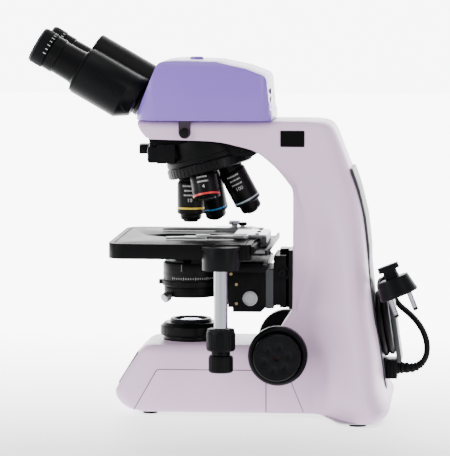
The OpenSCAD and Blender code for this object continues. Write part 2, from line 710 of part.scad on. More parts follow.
module stage_knob_lower() {
    color(black) on_axis() translate([drive_x, drive_y, 0]) rotate_extrude()
        polygon([[0, 48.4], [10.4, 48.4], [11.2, 49.2], [11.2, 63.6], [10.4, 64.4], [8.8, 65], [8.8, 68.5], [3, 68.5],
            [3, 146], [0, 146]]);
}

finger_pin = [14, -43.6];

module slide_holder() {
    top = stage_top + 0.3;
    color(steel) on_axis() {
        difference() {
            union() {
                translate([0, 0, top + 0.7]) linear_extrude(3) outline([[19, -44, 2], [58, -44, 4], [58, 60, 4],
                    [19, 60, 2]]);
                translate([0, 0, top + 0.7]) linear_extrude(3) outline([[-34, 42, 2], [-22, 40, 4], [20, 40, 0],
                    [20, 48, 0], [-28, 48, 3]]);
                translate([58 - eps, -30, top + 0.7]) cube([17, 60, 3]);
                translate([70.5, -30, 161]) cube([4.5, 60, 9]);
            }
            translate([0, 0, top]) linear_extrude(4) polygon([[-60, -38.3], [44, -38.3], [44, 38.3], [-60, 38.3]]);
        }
        translate([38, 51, top + 3.7]) cylinder(h = 2.3, r = 3);
        translate([38, 51, top + 5.9]) cylinder(h = 3.8, r = 5.5);
        translate([46, 52, top + 3.7]) cylinder(h = 2, r = 2.2);
        translate([0, 0, top + 2.9]) linear_extrude(1.6) outline([[9, -48.5, 3], [22, -48.5, 0], [22, -38.6, 0],
            [9, -38.6, 3]]);
        translate([finger_pin[0], finger_pin[1], top + 0.8]) cylinder(h = 2.4, r = 1.5);
    }
}

module spring_finger() {
    top = stage_top + 1;
    color(steel) on_axis() translate([0, 0, top]) difference() {
        linear_extrude(2) outline([[-20, -50, 1], [-13, -47, 4], [14, -48, 3], [18, -47, 2], [18, -40, 2],
            [14, -39, 3], [-8, -40.6, 4], [-18, -44, 1]]);
        translate([finger_pin[0], finger_pin[1], -1]) cylinder(h = 4, r = 1.5 + run);
    }
}

// ---- Condenser ------------------------------------------------------------------------------

module condenser_carrier() {
    color(black) on_axis() difference() {
        union() {
            ring(21, 26, condenser_low, 119);
            translate([25, -20, 105]) cube([13.2, 40, 28]);
        }
        translate([0, 0, 90]) cylinder(h = 80, r = 21);
        difference() {
            cylinder(h = 200, r = 28);
            translate([0, 0, 100]) cylinder(h = 19, r = 40);
        }
        translate([0, 0, 100]) linear_extrude(50) polygon([[39, -6 - 0.08], [33.9, -9.1], [33.9, 9.1], [39, 6 + 0.08]]);
        for (s = [-1, 1]) rotate([0, 0, s * 45]) translate([-24, 0, 113.5]) rotate([0, -115, 0])
            cylinder(h = 40, r = 2 + run, center = true);
    }
}

module condenser_body() {
    color(black) on_axis() difference() {
        rotate_extrude() polygon([[0, 111], [18.4, 111], [18.4, 119.2], [25, 119.2], [25, 120], [22, 120], [22, 126],
            [26.9, 126], [26.9, 142], [25, 144], [16, 144.5], [12, 150], [9.4, 156], [9, 166.4], [7.4, 167.2], [0, 167.2]]);
    }
}

module condenser_iris_ring() {
    color(black) on_axis() {
        ring(22 + run, 27.6, 120.3, 125.7);
        translate([-31, -3, 121]) cube([4, 6, 4.4]);
    }
}

module centering_screw(side) {
    color(steel) on_axis() rotate([0, 0, -side * 45]) translate([-24, 0, 113.5]) rotate([0, -115, 0]) {
        translate([0, 0, -3]) cylinder(h = 10, r = 2);
        translate([0, 0, 4.5]) cylinder(h = 6, r = 4.5);
    }
}
module centering_screw_right() { centering_screw(-1); }
module centering_screw_left() { centering_screw(1); }

module condenser_knob() {
    color(black) on_axis() translate([59.8, 0, 110.9]) rotate([-90, 0, 0]) {
        translate([0, 0, -31.5]) cylinder(h = 63, r = 4);
        translate([0, 0, -32.2]) cylinder(h = 1.9, r = 7.1);
        translate([0, 0, 30.4]) cylinder(h = 17, r = 12);
    }
}

// ---- Lead -----------------------------------------------------------------------------------

connector_z = 41.5;
plug_at = [197, -70, 136];
plug_tilt = 22;
hank_r = 20;                 // centre line of the innermost turn
hank_turns = 3;
hank_layers = 2;
hank_run = 24;               // straight part between the round ends

module lead_connector() {
    color(black) on_axis() {
        translate([175.5, -12, 33.4]) cube([14, 24, 16.2]);
        translate([189.4, -13.5, 32.4]) cube([10.6, 27, 18.2]);
        translate([200 - eps, 0, connector_z]) rotate([0, 90, 0]) cylinder(h = 14, r1 = 5.4, r2 = 3.7);
    }
}

module mains_plug() {
    color(black) on_axis() translate(plug_at) rotate([0, 180 - plug_tilt, 0]) {
        cylinder(h = 15, r1 = 15, r2 = 18.4);
        translate([0, 0, 15 - eps]) cylinder(h = 2, r = 18.4);
        translate([0, 0, -9]) rounded_box([13, 12, 9.5], 3);
        translate([0, 0, -13]) rounded_box([20, 12, 5], 3);
        translate([0, 0, -2]) rotate([-90, 0, 0]) cylinder(h = 18, r1 = 7, r2 = 3.8);
        for (s = [-1, 1]) translate([s * 9.5, 0, 16]) cylinder(h = 20, r = 2.3);
    }
}

// Points of the lead from the connector's relief to the hank.
lead_route = [[215, 0, 41.6], [219.5, 0.8, 43.3], [224, 2.5, 46.6], [227, 5, 51.5], [228.3, 8.5, 57.5],
    [227.8, 13, 64.5], [225.3, 19, 72], [221, 26, 79], [215, 33.5, 85.5], [208, 41, 91], [201, 47.5, 96],
    [196, 51, 102], [193.5, 51.8, 109]];
tail_route = [[185, 0, 126.3], [186, -11, 127.1], [188, -20, 129.8], [190.8, -29, 133.5], [193.5, -37, 136.5],
    [195.5, -44, 137.6], [196.3, -51.4, 137.9]];

// A tube along pts: one ring of n corners at each point, square to the way through it.
module cord_tube(pts, d, n = 8) {
    k = len(pts);
    function way(i) = unit(pts[min(i + 1, k - 1)] - pts[max(i - 1, 0)]);
    function side(i) = unit(cross(way(i), abs(way(i)[1]) > 0.9 ? [1, 0, 0] : [0, 1, 0]));
    verts = [for (i = [0:k - 1], j = [0:n - 1])
        pts[i] + d / 2 * (cos(360 * j / n) * side(i) + sin(360 * j / n) * cross(way(i), side(i)))];
    faces = concat([[for (j = [n - 1:-1:0]) j]],
        [for (i = [0:k - 2], j = [0:n - 1]) [i * n + j, i * n + (j + 1) % n, (i + 1) * n + (j + 1) % n]],
        [for (i = [0:k - 2], j = [0:n - 1]) [i * n + j, (i + 1) * n + (j + 1) % n, (i + 1) * n + j]],
        [[for (j = [0:n - 1]) (k - 1) * n + j]]);
    polyhedron(verts, faces);
}

module power_lead() {
    color(black) on_axis() {
        cord_tube(lead_route, cord_d);
        cord_tube(tail_route, cord_d);
    }
}

// The wound part lies between the rear panel and the winder's paddle.
module lead_hank() {
    outer = hank_r + (hank_turns - 1) * cord_d + cord_d / 2;
    inner = hank_r - cord_d / 2;
    lean = atan2(winder_low[0] - winder_high[0], winder_high[1] - winder_low[1]);
    color(black) on_axis() translate([188.7, 0, winder_z]) rotate([0, -lean, 0]) rotate([90, 0, 90])
        translate([0, 0, -hank_layers * cord_d / 2]) linear_extrude(hank_layers * cord_d) difference() {
            hull() for (s = [-1, 1]) translate([s * hank_run / 2, 0]) circle(r = outer, $fn = 40);
            hull() for (s = [-1, 1]) translate([s * hank_run / 2, 0]) circle(r = inner, $fn = 40);
        }
}

base_housing();
side_panels();
bottom_plate();
feet();
front_panel();
column_housing();
arm_housing();
rear_panel();
cord_winder();
power_inlet();
power_switch();
brightness_dial();
head_lock_screw();
illuminator_collar();
field_iris_ring();
field_lens();
lamp_module();
fold_mirror();
power_board();
focus_guide();
coarse_knobs();
coarse_shaft();
fine_knobs();
fine_shaft();
nosepiece_mount();
filter_slider();
turret();
objective_4x();
objective_10x();
objective_40x();
objective_100x();
head_shell();
head_dovetail();
beam_splitter();
pivot_barrel();
prism_housing_right();
prism_housing_left();
diopter_ring_right();
diopter_ring_left();
eyepiece_right();
eyepiece_left();
focus_block();
focus_rack();
stage_base();
stage_plate();
stage_drive_housing();
stage_knob_upper();
stage_knob_lower();
slide_holder();
spring_finger();
condenser_carrier();
condenser_body();
condenser_iris_ring();
centering_screw_right();
centering_screw_left();
condenser_knob();
power_lead();
lead_hank();
lead_connector();
mains_plug();
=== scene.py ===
"""Looks of the laboratory microscope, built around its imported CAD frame.

Lengths named in millimetres are turned into metres by at(). They count along X from the optical axis (+X
towards the arm), across Y from the middle plane (-Y is the user's right), and up from the table.
"""
import json
import math
import random

import bmesh
import bpy
from mathutils import Matrix, Vector
from mathutils.bvhtree import BVHTree


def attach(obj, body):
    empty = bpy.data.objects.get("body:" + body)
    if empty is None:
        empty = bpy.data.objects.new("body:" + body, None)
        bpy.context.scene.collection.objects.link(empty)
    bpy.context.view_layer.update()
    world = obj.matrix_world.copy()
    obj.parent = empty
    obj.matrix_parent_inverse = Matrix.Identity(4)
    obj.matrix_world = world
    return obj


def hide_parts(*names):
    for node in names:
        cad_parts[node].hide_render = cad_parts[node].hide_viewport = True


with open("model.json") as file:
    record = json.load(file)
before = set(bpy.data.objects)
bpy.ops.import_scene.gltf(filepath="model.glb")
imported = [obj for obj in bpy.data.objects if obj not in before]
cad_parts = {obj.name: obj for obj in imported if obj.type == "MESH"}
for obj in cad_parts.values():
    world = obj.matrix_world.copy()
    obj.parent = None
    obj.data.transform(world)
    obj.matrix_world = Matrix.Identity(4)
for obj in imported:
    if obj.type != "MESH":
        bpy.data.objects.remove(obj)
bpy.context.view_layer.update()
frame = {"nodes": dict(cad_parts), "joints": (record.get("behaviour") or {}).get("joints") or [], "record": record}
JOINTS = {j["name"]: j for j in frame["joints"]}
AXIS_X = JOINTS["field_iris_turn"]["pos_m"][0]
MM = 0.001
SIDES = ((-1, "right"), (1, "left"))


def at(u, y, z):
    """A point given in millimetres from the optical axis."""
    return Vector((AXIS_X + u * MM, y * MM, z * MM))


def frame_at(origin, axis, side=(0, 1, 0)):
    """A frame whose Z runs along axis and whose Y is as near to side as it can be."""
    z = Vector(axis).normalized()
    y = (Vector(side) - z * Vector(side).dot(z)).normalized()
    x = y.cross(z)
    m = Matrix((x, y, z)).transposed().to_4x4()
    m.translation = Vector(origin)
    return m


def shift(x, y, z):
    """A move in millimetres."""
    return Matrix.Translation((x * MM, y * MM, z * MM))


UPRIGHT = Matrix.Translation(at(0, 0, 0))
EYE_AXIS = Vector(JOINTS["right_tube_swing"]["axis"])
FACE = Vector(JOINTS["right_tube_swing"]["pos_m"])
BINOCULAR = frame_at(FACE, EYE_AXIS)
TURRET_AXIS = -Vector(JOINTS["nosepiece_turn"]["axis"])
TURRET = frame_at(JOINTS["nosepiece_turn"]["pos_m"], TURRET_AXIS)


def remap(tree, source, low, high, start=0.0, end=1.0):
    """The output of a node that maps a source from start..end to low..high."""
    span = tree.nodes.new("ShaderNodeMapRange")
    for key, value in (("From Min", start), ("From Max", end), ("To Min", low), ("To Max", high)):
        span.inputs[key].default_value = value
    tree.links.new(source, span.inputs["Value"])
    return span.outputs["Result"]


def object_noise(tree, scale, detail=2.0, stretch=None):
    """Noise in the object's own space, which stretch can draw out along an axis."""
    place = tree.nodes.new("ShaderNodeTexCoord").outputs["Object"]
    if stretch:
        mapping = tree.nodes.new("ShaderNodeMapping")
        mapping.inputs["Scale"].default_value = stretch
        tree.links.new(place, mapping.inputs["Vector"])
        place = mapping.outputs["Vector"]
    noise = tree.nodes.new("ShaderNodeTexNoise")
    noise.inputs["Scale"].default_value = scale
    noise.inputs["Detail"].default_value = detail
    tree.links.new(place, noise.inputs["Vector"])
    return noise.outputs["Fac"]


def along_y(tree, kind):
    """The Y of a coordinate: Object for a place in the scene, Generated for a direction of the sky."""
    place, part = (tree.nodes.new("ShaderNode" + node) for node in ("TexCoord", "SeparateXYZ"))
    tree.links.new(place.outputs[kind], part.inputs[0])
    return part.outputs["Y"]


# ---- Camera, light and floor ------------------------------------------------------------------

SKY_AROUND, SKY_BEHIND = 0.95, 8.0      # how bright the sky is round the object and behind it
GLOW_NEAR, GLOW_FAR = 0.5, 7.0          # how much light the floor adds in front of the object and behind it
FLOOR_REACH = 6.0
VIEW_AZIMUTH = math.radians(4.9)
VIEW_ELEVATION = math.radians(5.4)
VIEW_DISTANCE = 3.0
VIEW_TARGET = at(33, 0, 175.4)
SENSOR = 36.0
FRAME_WIDTH_M = 0.4345       # what the picture's width covers at the target


def make_camera():
    back = Vector((math.sin(VIEW_AZIMUTH) * math.cos(VIEW_ELEVATION),
                   -math.cos(VIEW_AZIMUTH) * math.cos(VIEW_ELEVATION), math.sin(VIEW_ELEVATION)))
    data = bpy.data.cameras.new("camera")
    data.sensor_fit = "HORIZONTAL"
    data.sensor_width = SENSOR
    data.lens = SENSOR * VIEW_DISTANCE / FRAME_WIDTH_M
    data.clip_end = 20
    camera = bpy.data.objects.new("camera", data)
    bpy.context.collection.objects.link(camera)
    camera.location = VIEW_TARGET + back * VIEW_DISTANCE
    camera.rotation_euler = back.to_track_quat("Z", "Y").to_euler()
    bpy.context.scene.camera = camera


def area_light(name, place, size, power, aim=(0, 0, 0.2)):
    data = bpy.data.lights.new(name, "AREA")
    data.shape = "RECTANGLE"
    data.size, data.size_y = size
    data.energy = power
    light = bpy.data.objects.new(name, data)
    bpy.context.collection.objects.link(light)
    light.location = place
    light.rotation_euler = (Vector(place) - Vector(aim)).to_track_quat("Z", "Y").to_euler()


def make_studio():
    """Four soft lights, a pale sky and a pale floor."""
    world = bpy.data.worlds.new("studio")
    world.use_nodes = True
    tree = world.node_tree
    tree.nodes["Background"].inputs["Color"].default_value = (1, 1, 1, 1)
    sky = remap(tree, along_y(tree, "Generated"), SKY_AROUND, SKY_BEHIND, 0.7, 0.95)
    tree.links.new(sky, tree.nodes["Background"].inputs["Strength"])
    bpy.context.scene.world = world
    area_light("key", (-1.3, -1.0, 0.9), (0.5, 1.2), 24)
    area_light("side", (1.3, -1.3, 0.7), (0.4, 1.2), 10)
    area_light("top", (0.0, -0.2, 1.7), (1.0, 1.0), 7)
    area_light("back", (0.9, 1.3, 1.0), (0.9, 0.9), 10)
    mesh = bpy.data.meshes.new("floor")
    corners = ((-1, -1), (1, -1), (1, 1), (-1, 1))
    mesh.from_pydata([(x * FLOOR_REACH, y * FLOOR_REACH, 0) for x, y in corners], [], [(0, 1, 2, 3)])
    floor = bpy.data.objects.new("floor", mesh)
    bpy.context.collection.objects.link(floor)
    floor.data.materials.append(MATERIALS["floor"])
    tree = MATERIALS["floor"].node_tree
    shader = tree.nodes["Principled BSDF"]
    shader.inputs["Emission Color"].default_value = (1, 1, 1, 1)
    glow = remap(tree, along_y(tree, "Object"), GLOW_NEAR, GLOW_FAR, -0.25, 0.6)
    tree.links.new(glow, shader.inputs["Emission Strength"])


# ---- Materials ----------------------------------------------------------------------------------

def new_material(name, color, roughness, metallic=0.0, grain=None, grain_height=0.02, vary=0.04, coat=0.0,
                 coat_roughness=0.1, brushed=None, specular=0.5):
    """A surface with fine grain in its height, and slow variation in colour and roughness."""
    material = bpy.data.materials.new(name)
    material.use_nodes = True
    tree = material.node_tree
    nodes, links = tree.nodes, tree.links
    shader = nodes["Principled BSDF"]
    shader.inputs["Metallic"].default_value = metallic
    shader.inputs["Coat Weight"].default_value = coat
    shader.inputs["Coat Roughness"].default_value = coat_roughness
    shader.inputs["Specular IOR Level"].default_value = specular
    slow = object_noise(tree, 35, 5)
    scale = nodes.new("ShaderNodeVectorMath")
    scale.operation = "SCALE"
    scale.inputs[0].default_value = color[:3]
    links.new(remap(tree, slow, 1 - vary, 1 + vary), scale.inputs["Scale"])
    links.new(scale.outputs["Vector"], shader.inputs["Base Color"])
    rough = remap(tree, slow, max(0.02, roughness - 0.06), min(1, roughness + 0.06))
    links.new(rough, shader.inputs["Roughness"])
    if grain:
        bump = nodes.new("ShaderNodeBump")
        bump.inputs["Strength"].default_value = 0.5
        bump.inputs["Distance"].default_value = grain_height * MM
        links.new(object_noise(tree, grain, 3, brushed), bump.inputs["Height"])
        links.new(bump.outputs["Normal"], shader.inputs["Normal"])
    return material


def glass_material(name, color):
    """Clear glass with a faint blue coat and a slow variation in roughness."""
    material = bpy.data.materials.new(name)
    material.use_nodes = True
    tree = material.node_tree
    shader = tree.nodes["Principled BSDF"]
    haze = remap(tree, object_noise(tree, 60), 0.02, 0.07)
    tree.links.new(haze, shader.inputs["Roughness"])
    shader.inputs["Base Color"].default_value = (*color, 1)
    shader.inputs["Transmission Weight"].default_value = 0.9
    shader.inputs["IOR"].default_value = 1.5
    shader.inputs["Coat Weight"].default_value = 0.6
    shader.inputs["Coat Tint"].default_value = (0.6, 0.7, 1, 1)
    return material


MATERIALS = {
    "floor": new_material("floor", (0.93, 0.93, 0.94), 0.55, vary=0.003),
    "pink_paint": new_material("pink_paint", (0.60, 0.43, 0.60), 0.34, grain=900, grain_height=0.03,
                               vary=0.012, coat=0.03, coat_roughness=0.3, specular=0.2),
    "violet_plastic": new_material("violet_plastic", (0.18, 0.095, 0.43), 0.3, grain=700, grain_height=0.012,
                                   vary=0.015, coat=0.1, coat_roughness=0.2, specular=0.3),
    "black_paint": new_material("black_paint", (0.0012, 0.0013, 0.0016), 0.42, grain=2600,
                                grain_height=0.12, vary=0.12, specular=0.07),
    "black_plastic": new_material("black_plastic", (0.0012, 0.0014, 0.0018), 0.38, grain=1800,
                                  grain_height=0.05, vary=0.1, specular=0.08),
    "grey_plastic": new_material("grey_plastic", (0.018, 0.021, 0.025), 0.45, grain=1500, grain_height=0.05,
                                 vary=0.05),
    "dark_gloss": new_material("dark_gloss", (0.012, 0.012, 0.015), 0.2, vary=0.05, coat=0.5, grain=300,
                               grain_height=0.005),
    "rubber": new_material("rubber", (0.0016, 0.0018, 0.0022), 0.62, grain=2200, grain_height=0.06,
                           vary=0.15, specular=0.07),
    "rubber_rim": new_material("rubber_rim", (0.016, 0.02, 0.022), 0.6, grain=2200, grain_height=0.06,
                               vary=0.1),
    "anodised": new_material("anodised", (0.0016, 0.0017, 0.002), 0.34, grain=1600, grain_height=0.02,
                             vary=0.12, brushed=(1, 1, 12), specular=0.1),
    "bright_steel": new_material("bright_steel", (0.3, 0.3, 0.31), 0.3, metallic=1, grain=700,
                                 grain_height=0.02, vary=0.05, brushed=(1, 18, 18)),
    "chrome": new_material("chrome", (0.27, 0.28, 0.3), 0.09, metallic=1, grain=500, grain_height=0.004,
                           vary=0.03),
    "brass": new_material("brass", (0.33, 0.25, 0.13), 0.28, metallic=1, grain=900, grain_height=0.02,
                          vary=0.06),
    "glass": glass_material("glass", (0.85, 0.9, 0.95)),
    "mirror": new_material("mirror", (0.92, 0.93, 0.94), 0.04, metallic=1, vary=0.01),
    "circuit": new_material("circuit", (0.03, 0.14, 0.07), 0.45, grain=800, grain_height=0.05, vary=0.15),
    "cord": new_material("cord", (0.0015, 0.0015, 0.0018), 0.4, grain=900, grain_height=0.03, vary=0.15,
                         specular=0.12),
    "white_mark": new_material("white_mark", (0.4, 0.4, 0.4), 0.5, vary=0.06),
    "red_band": new_material("red_band", (0.5, 0.006, 0.006), 0.35, vary=0.05),
    "yellow_band": new_material("yellow_band", (0.6, 0.42, 0.005), 0.35, vary=0.05),
    "blue_band": new_material("blue_band", (0.02, 0.22, 0.5), 0.35, vary=0.05),
    "light_band": new_material("light_band", (0.4, 0.5, 0.55), 0.35, vary=0.05),
    "badge_black": new_material("badge_black", (0.001, 0.001, 0.0012), 0.4, vary=0.05, specular=0.05),
    "red_core": new_material("red_core", (0.02, 0.002, 0.002), 0.4, vary=0.1, specular=0.1),
    "lens_coat": new_material("lens_coat", (0.01, 0.012, 0.02), 0.06, coat=1.0, coat_roughness=0.03,
                              vary=0.05),
    # Dark lines of the panel seams; the same colour is also the painted shade of the lock screw's notch.
    "seam": new_material("seam", (0.03, 0.02, 0.03), 0.8, vary=0.1),
}

# ---- Mesh helpers -------------------------------------------------------------------------------


SHARP_ANGLE = 35             # edges that turn further than this, in degrees, stay sharp


def finish_piece(obj, body, material, stands_for=()):
    obj.data.materials.append(MATERIALS[material])
    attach(obj, body)
    if stands_for:
        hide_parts(*stands_for)
    return obj


def smooth(mesh, angle):
    mesh.shade_smooth()
    mesh.set_sharp_from_angle(angle=math.radians(angle))


def mesh_piece(name, verts, faces, body, material, stands_for=(), angle=SHARP_ANGLE, bevel=0.0):
    """A mesh from points in metres."""
    mesh = bpy.data.meshes.new(name)
    mesh.from_pydata([tuple(v) for v in verts], [], faces)
    work = bmesh.new()
    work.from_mesh(mesh)
    bmesh.ops.remove_doubles(work, verts=work.verts, dist=1e-6)
    bmesh.ops.recalc_face_normals(work, faces=work.faces)
    work.to_mesh(mesh)
    work.free()
    obj = bpy.data.objects.new(name, mesh)
    bpy.context.collection.objects.link(obj)
    if bevel:
        round_edges(obj, bevel)
    smooth(mesh, angle)
    return finish_piece(obj, body, material, stands_for)


def round_edges(obj, width):
    modifier = obj.modifiers.new("round_edges", "BEVEL")
    modifier.width = width * MM
    modifier.segments = 2
    modifier.limit_method = "ANGLE"
    modifier.angle_limit = math.radians(SHARP_ANGLE)
    modifier.harden_normals = True


# Where the points of one rib lie in its pitch, and how much of the cut each takes
RIB_SHAPE = ((0, 0), (0.2, 0), (0.4, 0), (0.6, 0), (0.68, 1), (0.8, 1), (0.92, 1))


def lathe(name, profile, place, body, material, ribs=0, segments=96):
    """A turned piece. profile is [(radius, height, rib depth)] in millimetres; place is its frame."""
    if ribs:
        steps = [((i + f) / ribs * math.tau, cut) for i in range(ribs) for f, cut in RIB_SHAPE]
    else:
        steps = [(i / segments * math.tau, 0) for i in range(segments)]
    verts, faces, rings = [], [], []
    for point in profile:
        r, z = point[0], point[1]
        depth = point[2] if len(point) > 2 else 0
        if r < 1e-6:
            rings.append([len(verts)] * len(steps))
            verts.append(place @ Vector((0, 0, z * MM)))
            continue
        rings.append([len(verts) + k for k in range(len(steps))])
        for a, cut in steps:
            q = (r - depth * cut) * MM
            verts.append(place @ Vector((q * math.cos(a), q * math.sin(a), z * MM)))
    for lower, upper in zip(rings, rings[1:]):
        for k in range(len(steps)):
            m = (k + 1) % len(steps)
            loop = [lower[k], lower[m], upper[m], upper[k]]
            loop = [v for j, v in enumerate(loop) if v != loop[j - 1]]
            if len(set(loop)) >= 3:
                faces.append(loop)
    return mesh_piece(name, verts, faces, body, material)


def prism(name, outline, thickness, place, body, material, bevel=0.3):
    """An outline in millimetres, made thick along its frame's Z, with rounded edges."""
    k = len(outline)
    verts = [place @ Vector((x * MM, y * MM, 0)) for x, y in outline]
    verts += [place @ Vector((x * MM, y * MM, thickness * MM)) for x, y in outline]
    faces = [list(range(k))[::-1], [i + k for i in range(k)]]
    faces += [[i, (i + 1) % k, (i + 1) % k + k, i + k] for i in range(k)]
    return mesh_piece(name, verts, faces, body, material, bevel=bevel)


def block(name, low, high, body, material, bevel=0.4):
    """A box between two corners in millimetres, with rounded edges."""
    outline = [(low[0], low[1]), (high[0], low[1]), (high[0], high[1]), (low[0], high[1])]
    place = Matrix.Translation(at(0, 0, low[2]))
    return prism(name, outline, high[2] - low[2], place, body, material, bevel)


def rounded(points, steps=6):
    """A closed outline from (x, y, radius) corners."""
    result = []
    for i, (x, y, r) in enumerate(points):
        p = Vector((x, y))
        a = Vector(points[i - 1][:2])
        b = Vector(points[(i + 1) % len(points)][:2])
        if r <= 0:
            result.append((x, y))
            continue
        ua, ub = (a - p).normalized(), (b - p).normalized()
        half = math.acos(max(-1, min(1, ua.dot(ub)))) / 2
        centre = p + (ua + ub).normalized() * r / math.sin(half)
        start = p + ua * r / math.tan(half) - centre
        end = p + ub * r / math.tan(half) - centre
        turn = math.pi - 2 * half
        if start.x * end.y - start.y * end.x < 0:
            turn = -turn
        for k in range(steps + 1):
            t = turn * k / steps
            result.append((centre.x + start.x * math.cos(t) - start.y * math.sin(t),
                           centre.y + start.x * math.sin(t) + start.y * math.cos(t)))
    return result


def tube(name, points, radius, body, material, resolution=4, stands_for=()):
    """A round tube along points in metres."""
    curve = bpy.data.curves.new(name, "CURVE")
    curve.dimensions = "3D"
    curve.bevel_depth = radius * MM
    curve.bevel_resolution = resolution
    curve.use_fill_caps = True
    spline = curve.splines.new("POLY")
    spline.points.add(len(points) - 1)
    for p, q in zip(spline.points, points):
        p.co = (*q, 1)
    spline.use_smooth = True
    obj = bpy.data.objects.new(name, curve)
    bpy.context.collection.objects.link(obj)
    return finish_piece(obj, body, material, stands_for)


def spline_through(points, per_span):
    """A smooth Catmull-Rom line through points, with per_span steps between each two."""
    pts = [Vector(p) for p in points]
    k = len(pts)
    result = []
    for i in range(k - 1):
        p0 = pts[i - 1] if i > 0 else pts[0] * 2 - pts[1]
        p1, p2 = pts[i], pts[i + 1]
        p3 = pts[i + 2] if i + 2 < k else pts[-1] * 2 - pts[-2]
        for s in range(per_span):
            t = s / per_span
            result.append(0.5 * (2 * p1 + (p2 - p0) * t + (2 * p0 - 5 * p1 + 4 * p2 - p3) * t * t
                                 + (3 * p1 - p0 - 3 * p2 + p3) * t ** 3))
    result.append(pts[-1])
    return result


# ---- CAD nodes that keep their shape ---------------------------------------------------------------


def smooth_by_angle():
    """Shared modifier nodes that shade an edge sharp only where its faces meet at a clear angle."""
    group = bpy.data.node_groups.new("shade_by_angle", "GeometryNodeTree")
    group.interface.new_socket("Geometry", in_out="INPUT", socket_type="NodeSocketGeometry")
    group.interface.new_socket("Geometry", in_out="OUTPUT", socket_type="NodeSocketGeometry")
    source = group.nodes.new("NodeGroupInput")
    target = group.nodes.new("NodeGroupOutput")
    angle = group.nodes.new("GeometryNodeInputMeshEdgeAngle")
    under = group.nodes.new("FunctionNodeCompare")
    under.data_type = "FLOAT"
    under.operation = "LESS_THAN"
    under.inputs[1].default_value = math.radians(32)
    faces = group.nodes.new("GeometryNodeSetShadeSmooth")
    faces.domain = "FACE"
    edges = group.nodes.new("GeometryNodeSetShadeSmooth")
    edges.domain = "EDGE"
    group.links.new(source.outputs[0], faces.inputs["Geometry"])
    group.links.new(faces.outputs[0], edges.inputs["Geometry"])
    group.links.new(angle.outputs["Unsigned Angle"], under.inputs[0])
    group.links.new(under.outputs[0], edges.inputs["Shade Smooth"])
    group.links.new(edges.outputs[0], target.inputs[0])
    return group


SHADE = smooth_by_angle()


def dress(node, material, bevel=0.35):
    """Gives a CAD node its material and softly rounded edges."""
    obj = frame["nodes"][node]
    obj.data.materials.clear()
    obj.data.materials.append(MATERIALS[material])
    attribute = obj.data.attributes.get("custom_normal")
    if attribute:
        obj.data.attributes.remove(attribute)
    weld = obj.modifiers.new("weld", "WELD")
    weld.merge_threshold = 1e-6
    if bevel:
        round_edges(obj, bevel)
        obj.modifiers["round_edges"].harden_normals = False
    shade = obj.modifiers.new("shade", "NODES")
    shade.node_group = SHADE


# ---- Mains lead ---------------------------------------------------------------------------------

CORD_D = 6.0
HANK_R = 20.0
HANK_STEP = 6.0
HANK_TURNS = 3
HANK_HALF_RUN = 12.0
HANK_AT = (188.7, 88)
HANK_LEAN = math.atan2(205 - 194.6, 121 - 49)
LEAD_ROUTE = [(213.8, 0, 41.5), (219.5, 0.8, 43.3), (224, 2.5, 46.6), (227, 5, 51.5), (228.3, 8.5, 57.5),
              (227.8, 13, 64.5), (225.3, 19, 72), (221, 26, 79), (215, 33.5, 85.5), (208, 41, 91),
              (201, 47.5, 96),
              (196, 51, 102), (193.5, 51.8, 109)]
INTO_HANK = [(191.6, 48.5, 116), (189.2, 42, 120.6), (187.8, 33, 122.2), (187.3, 22, 121.2)]
OUT_OF_HANK = [(181.9, 27, 115.5), (182.3, 19, 121), (183.4, 9, 124.8)]
TAIL_ROUTE = [(185, 0, 126.3), (186, -11, 127.1), (188, -20, 129.8), (190.8, -29, 133.5), (193.5, -37, 136.5),
              (195.5, -44, 137.6), (196.3, -51.4, 137.9)]
PLUG_AT = (197, -70, 136)
PLUG_TILT = math.radians(22)


def hank_point(angle, radius, layer):
    """A point of a turn round the winder; angle 0 is at +Y, a quarter turn on it is at the top."""
    y = radius * math.cos(angle) + HANK_HALF_RUN * (1 if math.cos(angle) > 0 else -1)
    rise = radius * math.sin(angle)
    u = HANK_AT[0] - rise * math.sin(HANK_LEAN) + layer * CORD_D / 2 * math.cos(HANK_LEAN)
    return (u, y, HANK_AT[1] + rise * math.cos(HANK_LEAN) + layer * CORD_D / 2 * math.sin(HANK_LEAN))


def hank_route():
    """The turns: inwards next to the paddle, then back outwards next to the panel."""
    outer = HANK_R + (HANK_TURNS - 1) * HANK_STEP
    points = []
    per_turn = 24
    start = math.pi / 2
    count = int(per_turn * (HANK_TURNS - 0.25))
    for i in range(count + 1):
        t = i / per_turn
        radius = outer - HANK_STEP * min(t, HANK_TURNS - 1)
        points.append(hank_point(start + math.tau * t, radius, 1))
    last = start + math.tau * count / per_turn
    back = int(per_turn * (HANK_TURNS + 0.1))
    for i in range(1, back + 1):
        t = i / per_turn
        radius = min(outer, HANK_R + HANK_STEP * max(0, t - (HANK_TURNS + 0.1 - (HANK_TURNS - 1))))
        points.append(hank_point(last + math.tau * t, radius, max(-1, 1 - 10 * t)))
    return points


def make_cord():
    """The whole lead, with its connector and plug."""
    route = LEAD_ROUTE + INTO_HANK + hank_route() + OUT_OF_HANK + TAIL_ROUTE
    points = spline_through([at(*p) for p in route], 4)
    cord = tube("mains_lead", points, CORD_D / 2, "stand", "cord", resolution=5,
                stands_for=("power_lead", "lead_hank"))
    relief = make_relief()
    pins = make_plug()


